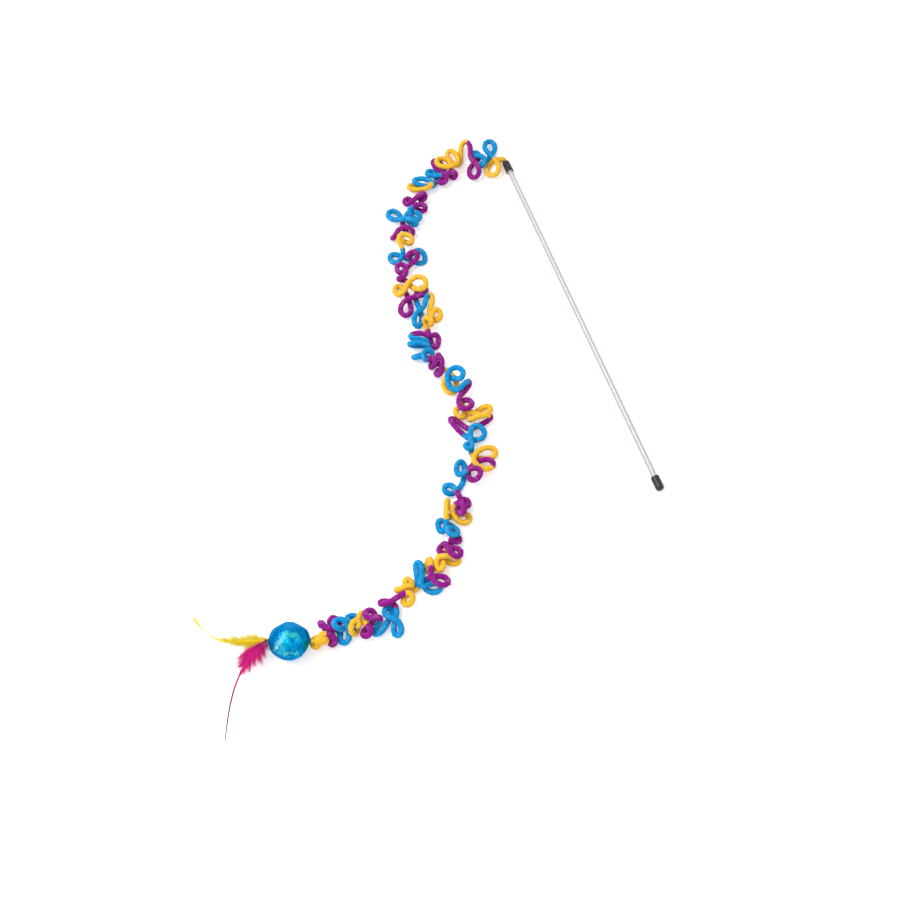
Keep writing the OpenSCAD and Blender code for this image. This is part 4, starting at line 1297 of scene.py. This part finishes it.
# Tufts: the tip along and across the feather's plane and the root along it in mm, the share of barbs,
# the colour from deep to bright, and the tip's height over the plane in mm. Radii, fades and widths are
# shares of the length and the values there
class YellowFeather(Feather):
    """The yellow feather: a long flat tuft, a bare stretch and a broad end to its blade."""

    tufts = (
        (-3.6, -3.6, -5.0, 0.5, 0.5, 1.5),
        (-0.5, -4.4, -4.0, 0.9, 0.7, 1.0),
        (3.0, -4.0, -1.5, 1.0, 0.8, 1.0),
        (7.5, -2.4, 2.0, 0.9, 0.9, 0.5),
        (12.2, -4.4, 4.5, 0.9, 1.0, 1.0),
        (15.8, -1.8, 8.0, 0.9, 0.9, 0.5),
        (19.8, -2.6, 10.5, 1.0, 1.0, 1.0),
        (22.5, 1.2, 14.5, 0.9, 0.9, 0.5),
        (26.0, 2.2, 18.0, 0.9, 1.0, 0.5),
        (30.5, 3.2, 22.0, 0.9, 0.9, 0.5),
        (34.8, 4.4, 26.5, 0.9, 1.0, 0.5),
        (38.5, 8.0, 31.5, 0.6, 0.9, 0.5),
        (43.5, 9.9, 36.0, 0.5, 0.9, 0.5),
        (-2.0, 2.2, -4.5, 0.5, 0.4, 0.5),
        (2.5, 6.6, -3.0, 0.9, 0.5, 0.0),
        (4.8, 11.4, -1.5, 1.0, 0.4, -0.5),
        (9.0, 15.4, 1.0, 1.1, 0.4, -0.5),
        (13.4, 16.6, 3.5, 1.1, 0.5, -0.5),
        (17.2, 17.4, 6.5, 1.0, 0.5, -0.5),
        (18.0, 13.4, 9.0, 0.9, 0.7, 0.0),
        (21.6, 12.6, 12.5, 0.9, 0.8, 0.0),
        (25.8, 13.4, 16.5, 0.9, 0.9, 0.0),
        (30.6, 13.8, 21.5, 0.8, 1.0, 0.0),
        (36.0, 14.0, 27.0, 0.6, 0.9, 0.0),
        (42.0, 13.9, 33.0, 0.5, 0.9, 0.0),
    )
    shaft_radii = ((-0.16, 0.0, 0.5, 0.78, 1.0), (0.5, 0.5, 0.42, 0.3, 0.15))
    fade_stops = ((0.0, 1.0), (0.0, 0.0))
    blade_widths = (
        (0.42, 0.5, 0.6, 0.7, 0.78, 0.85, 0.92, 0.96, 0.985),
        (1.6, 1.2, 0.8, 0.45, 0.35, 0.85, 1.35, 1.0, 0.4))


class MagentaFeather(Feather):
    """The magenta feather: a full tuft and a long whip of a shaft."""

    tufts = (
        (-3.4, 4.6, -5.0, 0.6, 0.1, 0.5),
        (3.6, 9.2, -4.0, 1.0, 0.2, 0.0),
        (8.6, 9.6, -1.0, 1.0, 0.3, 0.0),
        (12.4, 9.4, 1.0, 0.9, 0.5, 0.0),
        (15.6, 11.4, 3.0, 1.0, 0.6, 0.0),
        (18.6, 7.8, 5.5, 0.9, 0.8, 0.0),
        (22.2, 8.6, 8.0, 1.1, 0.7, 0.0),
        (25.6, 2.6, 12.0, 0.9, 0.9, 0.0),
        (27.6, 3.6, 13.5, 1.0, 0.8, 0.0),
        (30.2, -1.6, 17.0, 0.8, 1.0, 0.0),
        (33.2, 0.2, 19.0, 1.0, 0.9, 0.0),
        (34.4, -3.8, 22.5, 0.8, 1.0, 0.0),
        (38.6, -5.0, 25.5, 0.9, 0.9, 0.0),
        (38.4, -8.0, 28.5, 0.6, 1.0, 0.0),
        (-1.0, 1.2, -4.5, 0.5, 0.1, 1.0),
        (4.6, -1.8, -2.5, 0.8, 0.1, 0.5),
        (10.0, -5.2, 1.5, 1.0, 0.3, 0.5),
        (14.4, -10.6, 4.0, 1.0, 0.4, 0.5),
        (16.6, -13.2, 6.5, 1.1, 0.7, 0.5),
        (20.2, -16.2, 9.0, 1.1, 0.9, 0.5),
        (22.6, -17.6, 11.5, 1.1, 1.0, 0.5),
        (26.4, -17.2, 15.0, 1.1, 1.0, 0.5),
        (29.8, -15.8, 19.0, 1.0, 0.9, 0.5),
        (31.8, -14.4, 22.5, 0.8, 0.9, 0.5),
        (31.6, -11.6, 25.0, 0.7, 1.0, 0.5),
    )
    shaft_radii = ((-0.16, 0.0, 0.3, 0.4, 0.7, 1.0), (0.5, 0.5, 0.8, 1.0, 0.8, 0.45))
    fade_stops = ((0.0, 0.35, 0.6, 1.0), (0.0, 0.1, 0.8, 1.0))
    blade_widths = ((0.3, 0.36, 0.45, 0.6, 0.97), (1.5, 0.9, 0.7, 0.55, 0.3))


class WAND_OT_studio(bpy.types.Operator):
    """Make the camera, the floor, the sky and the lamps."""

    bl_idname = "wand.studio"
    bl_label = "Studio"

    def execute(self, context):
        settings = context.scene.wand_studio
        camera = bpy.data.objects.new("camera", bpy.data.cameras.new("camera"))
        context.scene.collection.objects.link(camera)
        camera.location = settings.camera_at
        camera.rotation_euler = (settings.camera_tilt, settings.camera_roll, settings.camera_turn)
        camera.data.lens = settings.lens
        camera.data.sensor_width = 36
        camera.data.clip_start = 0.05
        context.scene.camera = camera
        context.scene.view_settings.view_transform = "Standard"
        self.floor(settings)
        self.sky(context, settings)
        self.lamp("key", settings.key, size=1.0, at=(-1.05, 0.75, 1.5), toward=(-0.22, 0.15, 0))
        self.lamp("overhead", settings.overhead, size=0.12, at=(-0.50, -0.17, 0.6), toward=BALL_CENTRE)
        return {"FINISHED"}

    def floor(self, settings):
        """A plain white floor, evenly bright for the camera and for mirrored rays."""
        bpy.ops.object.select_all(action="DESELECT")
        bpy.ops.mesh.primitive_plane_add(size=12, location=(-0.25, 0.2, floor_z))
        plane = bpy.context.object
        plane.name = "floor"
        bpy.ops.object.transform_apply(location=True, rotation=True, scale=True)
        shader = new_shader("floor")
        lit = shader.add("BsdfDiffuse", None, {"Color": settings.floor_colour})
        strength = self.unlit(shader) * settings.floor_glow
        glow = shader.add("Emission", None, {"Color": (1.0, 1.0, 1.0), "Strength": strength})
        both = shader.add("AddShader", None, {0: lit, 1: glow})
        shader.add("OutputMaterial", None, {"Surface": both})
        plane.data.materials.append(shader.owner)

    def sky(self, context, settings):
        """Even light from all round, and pure white behind the object."""
        world = bpy.data.worlds.new("sky")
        context.scene.world = world
        shader = Shader(world)
        strength = shader.add(
            "MapRange", None, {0: self.unlit(shader), "To Min": settings.sky, "To Max": 1.0})
        sky = shader.add("Background", None, {"Color": (1.0, 1.0, 1.0), "Strength": strength})
        shader.add("OutputWorld", None, {"Surface": sky})

    def unlit(self, shader):
        """1 for rays that only show the surroundings: the camera's, mirrored ones and those let through."""
        seen = shader.add("LightPath", out="Is Camera Ray")
        for way in ("Is Transmission Ray", "Is Glossy Ray"):
            seen = seen.math("MAXIMUM", seen, shader.add("LightPath", out=way))
        return seen

    def lamp(self, name, power, size, at, toward):
        """A square lamp at a place, turned towards another."""
        data = bpy.data.lights.new(name, "AREA")
        data.energy = power
        data.size = size
        lamp = bpy.data.objects.new(name, data)
        bpy.context.scene.collection.objects.link(lamp)
        lamp.location = at
        lamp.rotation_euler = (Vector(toward) - Vector(at)).to_track_quat("-Z", "Y").to_euler()


class WAND_OT_strand(bpy.types.Operator):
    """Make the curled chenille strand, its loose fibres and the knots at its two ends."""

    bl_idname = "wand.strand"
    bl_label = "Chenille strand"

    def execute(self, context):
        settings = context.scene.wand_strand
        low = floor_z + PILE_LOW
        pile = chenille_material()
        line, colours = strand_line(settings)
        twist = math.pi / settings.ring_tufts
        run = np.arange(len(line)) * settings.ring_step
        neck = np.interp(run / MM, *STUB) - NECK_NIP * np.exp(-((run - NECK_AT) / NECK_LONG) ** 2)
        swell = np.interp((run[-1] - run) / MM, *SWELL)
        form = tube(
            line, settings.radius * neck * swell, settings.ring_tufts, tuft=settings.tuft, twist=twist,
            low=low, lumps=STRAND_LUMPS)
        form.values["dye"] = colours[form.values.pop("row")]
        strand = form.piece("chenille", pile, "lure", "chenille", "chenille_strand")
        loose = loose_fibres(line, colours, settings, low)
        fibres = loose.piece("chenille_fibres", pile, "lure", "chenille")
        self.knots(settings, pile, low)
        return {"FINISHED"}

    def knots(self, settings, pile, low):
        """Each knot is turned about its own axis: a stop or a stem, a neck and the round knot."""
        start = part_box("strand_anchor")[0].y
        pivot = pivots["lure_swing"]
        y = np.linspace(start, pivot.y + KNOT_R, TIP_KNOT_RINGS)
        inside = y < start + STOP_LONG
        ball = np.sqrt(np.maximum(KNOT_R**2 - (y - pivot.y) ** 2, 0))
        radius = np.maximum(np.where(inside, STOP_R, KNOT_NECK_R), ball)
        radius[-1] = END_R
        line = np.stack([np.full(len(y), pivot.x), y, np.full(len(y), pivot.z)], axis=1)
        pile_knot(line, radius, settings.yellow, 3, low).piece(
            "tip_knot", pile, "wand", "yellow_pile", "strand_anchor")
        x = np.linspace(BALL_AT.x + STEM_FROM, BALL_KNOT_AT.x + BALL_KNOT_R, BALL_KNOT_RINGS)
        ball = np.sqrt(np.maximum(BALL_KNOT_R**2 - (x - BALL_KNOT_AT.x) ** 2, 0))
        radius = np.maximum(STEM_R, ball) * MM
        radius[-1] = END_R
        line = np.stack([x, np.full(len(x), BALL_KNOT_AT.y), np.full(len(x), BALL_KNOT_AT.z)], axis=1)
        pile_knot(on_plan(line), radius, settings.yellow, 4).piece(
            "ball_knot", pile, "ball", "yellow_pile", "ball_tie")


class WAND_OT_ball(bpy.types.Operator):
    """Make the ball: a foam core and the crinkled film round it, gathered at both ends."""

    bl_idname = "wand.ball"
    bl_label = "Foil ball"

    def execute(self, context):
        settings = context.scene.wand_ball
        turn = 2 * math.pi * np.arange(BALL_SIDES) / BALL_SIDES
        mouth = math.asin(MOUTH_R / BALL_R)
        outer = np.linspace(mouth, math.pi - mouth, FILM_RINGS)
        inner = np.linspace(math.pi - LINING_FROM, LINING_FROM, LINING_RINGS)
        skin = self.shell(outer, turn, settings, 0)
        lining = self.shell(inner, turn, settings, settings.film / MM)
        flutes = 1 + LIP_FLUTE * np.cos(settings.pleats * turn)
        far_lip = [np.stack([np.full(BALL_SIDES, -x), r * flutes], axis=1) for x, r in LIP_PROFILE]
        near_lip = [np.stack([np.full(BALL_SIDES, x), r * flutes], axis=1) for x, r in LIP_PROFILE[::-1]]
        loop = np.concatenate([skin, far_lip, lining, near_lip])
        points, quads, uv = turned(loop, BALL_SIDES, BALL_AT)
        points[:, 2] = np.maximum(points[:, 2], floor_z + FILM_LOW)
        plan = np.array(PLAN_INVERSE)
        ways = unit(points @ plan[:3, :3].T + plan[:3, 3] - np.array(BALL_AT))
        form = Form(points, [(outward(points, quads), uv)], film=film_colours(ways, settings))
        form.piece("foil_skin", foil_material(), "ball", "foil", "ball_skin")
        self.core(settings)
        return {"FINISHED"}

    def shell(self, angles, turn, settings, inward):
        """Rings of the film: distance along the ball's axis and from it, at each angle and turn. It is
        creased all over and pleated towards its mouths, where it draws in to the lip."""
        a, t = np.meshgrid(angles, turn, indexing="ij")
        ways = np.stack([np.cos(a), np.sin(a) * np.cos(t), np.sin(a) * np.sin(t)], axis=-1)
        reach = ball_reach(ways, settings) * BALL_R - inward
        flat = ways.reshape(-1, 3)
        fold = np.ones(len(flat))
        for size, seed, depth in FILM_FOLDS:
            fold = fold - depth * np.abs(rough(flat, size, seed))
        reach = reach + settings.crinkle / MM * fold.reshape(a.shape)
        to_pole = np.minimum(a, math.pi - a)
        near_pole = np.exp(-(to_pole / PLEATS_WIDE) ** 2)
        waver = t * settings.pleats + PLEATS_WAVER * np.sin(3 * t + a) * (1 - near_pole)
        reach = reach + settings.pleat / MM * near_pole * (np.abs(np.sin(waver / 2)) - PLEAT_SUNK)
        mouth = np.exp(-(to_pole / MOUTH_WIDE) ** 4)
        reach = reach + (BALL_R - inward - reach) * mouth * MOUTH_DRAW
        return np.stack([reach * np.cos(a), reach * np.sin(a)], axis=-1)

    def core(self, settings):
        """The foam ball with its bore, in one closed loop that is turned about the axis."""
        first = math.asin(CORE_BORE / CORE_R)
        angles = np.linspace(first, math.pi - first, CORE_RINGS)
        loop = CORE_R * np.stack([np.cos(angles), np.sin(angles)], axis=1)
        points, quads, uv = turned(loop, CORE_SIDES, BALL_AT)
        form = Form(points, [(outward(points, quads), uv)])
        form.piece("foam_core", foam_material(settings), "ball", "foam", "ball_core")


def outward(points, quads):
    """The faces, turned over if they point into their closed form."""
    a, b, c, d = (points[quads[:, k]] for k in range(4))
    volume = (np.cross(a, b) * c).sum() + (np.cross(a, c) * d).sum()
    return quads if volume > 0 else quads[:, ::-1]


class WAND_OT_feathers(bpy.types.Operator):
    """Make the two feathers and wind the thread that binds their shafts at the ball."""

    bl_idname = "wand.feathers"
    bl_label = "Feathers"

    def execute(self, context):
        settings = context.scene.wand_feathers
        yellow = YellowFeather("yellow_plume", settings.yellow_len, YELLOW_LIE, 21)
        magenta = MagentaFeather("magenta_plume", settings.magenta_len, MAGENTA_LIE, 22)
        # Each feather's colours: its dye, its deeper colour, the painted light through the barbs' ends, and
        # its bare shaft's colour
        self.plume(
            yellow, settings, "yellow_feather",
            (settings.yellow, settings.ochre, screen(250, 238, 130), settings.yellow),
            "yellow_quill", "yellow_vane")
        self.plume(
            magenta, settings, "magenta_feather",
            (settings.magenta, settings.plum, screen(238, 90, 170), settings.bare),
            "magenta_quill", "magenta_vane")
        self.binding(settings)
        return {"FINISHED"}

    def plume(self, feather, settings, slot, colours, *replaced):
        """One feather: its fluff, its blade and its shaft in one piece of its slot's material."""
        material = feather_material(slot, *colours)
        barbs = feather.fluff(settings.fluff_barbs).joined(feather.blade(settings.blade_barbs), 0.8)
        barbs.joined(feather.shaft(), 0.95).piece(feather.name, material, "ball", slot, *replaced)

    def binding(self, settings):
        """Turns of thread side by side round both shafts, and a few that cross back over them."""
        start = BALL_AT.x - BALL_R - LIP - WEB_GAP - THREAD_D / 2
        run = (THREAD_TURNS - 1) * THREAD_D
        turns = THREAD_TURNS + CROSS_TURNS
        t = np.linspace(0, turns, turns * TURN_STEPS)
        past = t - THREAD_TURNS
        x = np.where(past < 0, -t / THREAD_TURNS * run, -run + past / CROSS_TURNS * run)
        layer = np.clip(past * 3, 0, 1) * CROSS_LIFT
        angle = 2 * math.pi * t
        tall = (QUILL_D + THREAD_D) / 2 + layer + THREAD_LOOSE
        wide = QUILL_D + QUILL_APART / 2 + THREAD_D / 2 + layer - THREAD_BITE
        line = np.stack([
            start + x, BALL_AT.y + wide * np.cos(angle), BALL_AT.z + tall * np.sin(angle)], axis=1)
        form = tube(on_plan(line), THREAD_D / 2 * MM * THREAD_PLUMP, THREAD_SIDES)
        form.piece("binding_thread", thread_material(settings), "ball", "thread", "feather_binding")


class WAND_OT_rod(bpy.types.Operator):
    """Give the clear rod and its two caps their finish."""

    bl_idname = "wand.rod"
    bl_label = "Rod and caps"

    def execute(self, context):
        settings = context.scene.wand_rod
        caps = cap_material(settings)
        finishes = {"rod": rod_material(settings), "handle_cap": caps, "tip_cap": caps}
        for node, finish in finishes.items():
            for slot in frame["nodes"][node].material_slots:
                slot.material = finish
        return {"FINISHED"}


SETTINGS = {
    "studio": StudioSettings,
    "strand": StrandSettings,
    "ball": BallSettings,
    "feathers": FeatherSettings,
    "rod": RodSettings,
}
OPERATORS = (WAND_OT_studio, WAND_OT_strand, WAND_OT_ball, WAND_OT_feathers, WAND_OT_rod)


class WAND_PT_sidebar(bpy.types.Panel):
    """Lists the pieces of the wand, each with its settings."""

    bl_label = "Wand"
    bl_idname = "WAND_PT_sidebar"
    bl_space_type = "VIEW_3D"
    bl_region_type = "UI"
    bl_category = "Wand"

    def draw(self, context):
        for operator, (name, group) in zip(OPERATORS, SETTINGS.items()):
            column = self.layout.box().column()
            column.operator(operator.bl_idname)
            settings = getattr(context.scene, "wand_" + name)
            for setting in group.__annotations__:
                column.prop(settings, setting)


def register():
    for group in SETTINGS.values():
        bpy.utils.register_class(group)
    for name, group in SETTINGS.items():
        setattr(bpy.types.Scene, "wand_" + name, PointerProperty(type=group))
    for operator in OPERATORS:
        bpy.utils.register_class(operator)
    bpy.utils.register_class(WAND_PT_sidebar)


def unregister():
    bpy.utils.unregister_class(WAND_PT_sidebar)
    for operator in reversed(OPERATORS):
        bpy.utils.unregister_class(operator)
    for name in SETTINGS:
        delattr(bpy.types.Scene, "wand_" + name)
    for group in reversed(SETTINGS.values()):
        bpy.utils.unregister_class(group)


def main():
    register()
    bpy.ops.wand.studio()
    bpy.ops.wand.strand()
    bpy.ops.wand.ball()
    bpy.ops.wand.feathers()
    bpy.ops.wand.rod()
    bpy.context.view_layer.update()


if __name__ == "__main__":
    main()
